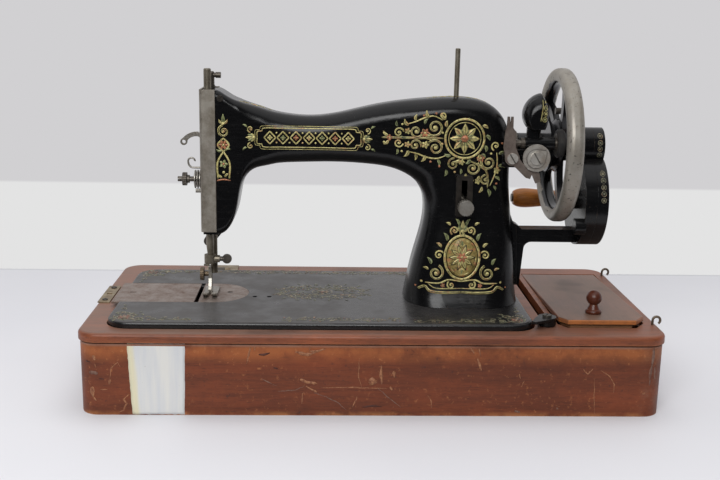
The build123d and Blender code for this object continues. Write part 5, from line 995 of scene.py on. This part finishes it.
wide, near, far = 1.3, -0.36, 0.367
floor_mesh = bpy.data.meshes.new("floor")
floor_mesh.from_pydata([(-wide, near, 0), (wide, near, 0), (wide, far, 0), (-wide, far, 0)], [],
                       [(0, 1, 2, 3)])
floor_mesh.materials.append(table_paint())
placed("floor", floor_mesh)

# The room: a pale wall with a lighter band at its foot, soft light from above, dim in front.
world = bpy.data.worlds.new("room")
bpy.context.scene.world = world
world.use_nodes = True
room = Graph(world.node_tree)


def ease(*values):
    return room.span(*values, kind="SMOOTHSTEP")


way = room.add("ShaderNodeTexCoord").outputs["Generated"]
ways = room.add("ShaderNodeSeparateXYZ", {"Vector": way}).outputs
reach = room.most(room.maths("ABSOLUTE", ways[0]), room.maths("ABSOLUTE", ways[1]))
band_slope, ceiling_start, ceiling_full = 0.1748, 0.66, 0.92
over_band = room.maths("MULTIPLY_ADD", reach, band_slope, ways[2])
wall = room.mix(ease(over_band, -0.0015, 0.0015), colour(227, 227, 227), colour(209, 208, 210))
behind = ease(ways[1], -0.30, 0.35)
overhead = ease(ways[2], ceiling_start, ceiling_full)
dim_front = room.mix(overhead, (0.045, 0.045, 0.05, 1.0), (1.0, 1.0, 1.02, 1.0))
lit_back = room.mix(overhead, wall, (0.9, 0.9, 0.92, 1.0))
surroundings = room.mix(behind, dim_front, lit_back)
rays = room.add("ShaderNodeLightPath").outputs
mirrored = room.both(room.most(rays["Is Glossy Ray"], rays["Is Transmission Ray"]), behind,
                     ease(ways[2], ceiling_start, ceiling_full, 1.0, 0.0))
shown = room.most(rays["Is Camera Ray"], mirrored)
backdrop = room.tree.nodes["Background"].inputs
room.join(backdrop["Color"], room.mix(shown, surroundings, wall))
backdrop["Strength"].default_value = 1.0


def lamp(name, place, aim, size, power):
    light = bpy.data.lights.new(name, "AREA")
    light.shape = "RECTANGLE"
    light.size, light.size_y = size
    light.energy = power
    thing = placed(name, light)
    thing.location = place
    thing.rotation_mode = "QUATERNION"
    thing.rotation_quaternion = (Vector(aim) - Vector(place)).to_track_quat("-Z", "Y")
    return thing


lamp("front_light", (-0.35, -1.5, 1.05), (0.0, -0.05, 0.1), (1.2, 0.8), 21.0)
lamp("top_light", (0.1, 0.1, 1.9), (0.0, 0.0, 0.0), (1.4, 1.0), 8.0).visible_glossy = False

# The camera stands where the photograph was taken from.
camera_place = Vector((-45.6, -911.1, 340.4)) * MM
camera_yaw, camera_pitch, camera_roll = 0.0388, 0.2279, 0.0192
focal_share = 989.6 / 720.0
sensor_width = 36.0
camera_data = bpy.data.cameras.new("camera")
camera_data.sensor_width = sensor_width
camera_data.lens = focal_share * sensor_width
camera = placed("camera", camera_data)
forward = Vector((math.sin(camera_yaw) * math.cos(camera_pitch),
                  math.cos(camera_yaw) * math.cos(camera_pitch), -math.sin(camera_pitch)))
right = Vector((math.cos(camera_yaw), -math.sin(camera_yaw), 0.0))
above = right.cross(forward)
rolled_right = right * math.cos(camera_roll) + above * math.sin(camera_roll)
rolled_above = above * math.cos(camera_roll) - right * math.sin(camera_roll)
camera.matrix_world = Matrix.Translation(camera_place) @ Matrix(
    (rolled_right, rolled_above, -forward)).transposed().to_4x4()
bpy.context.scene.camera = camera
bpy.context.scene.view_settings.view_transform = "Standard"
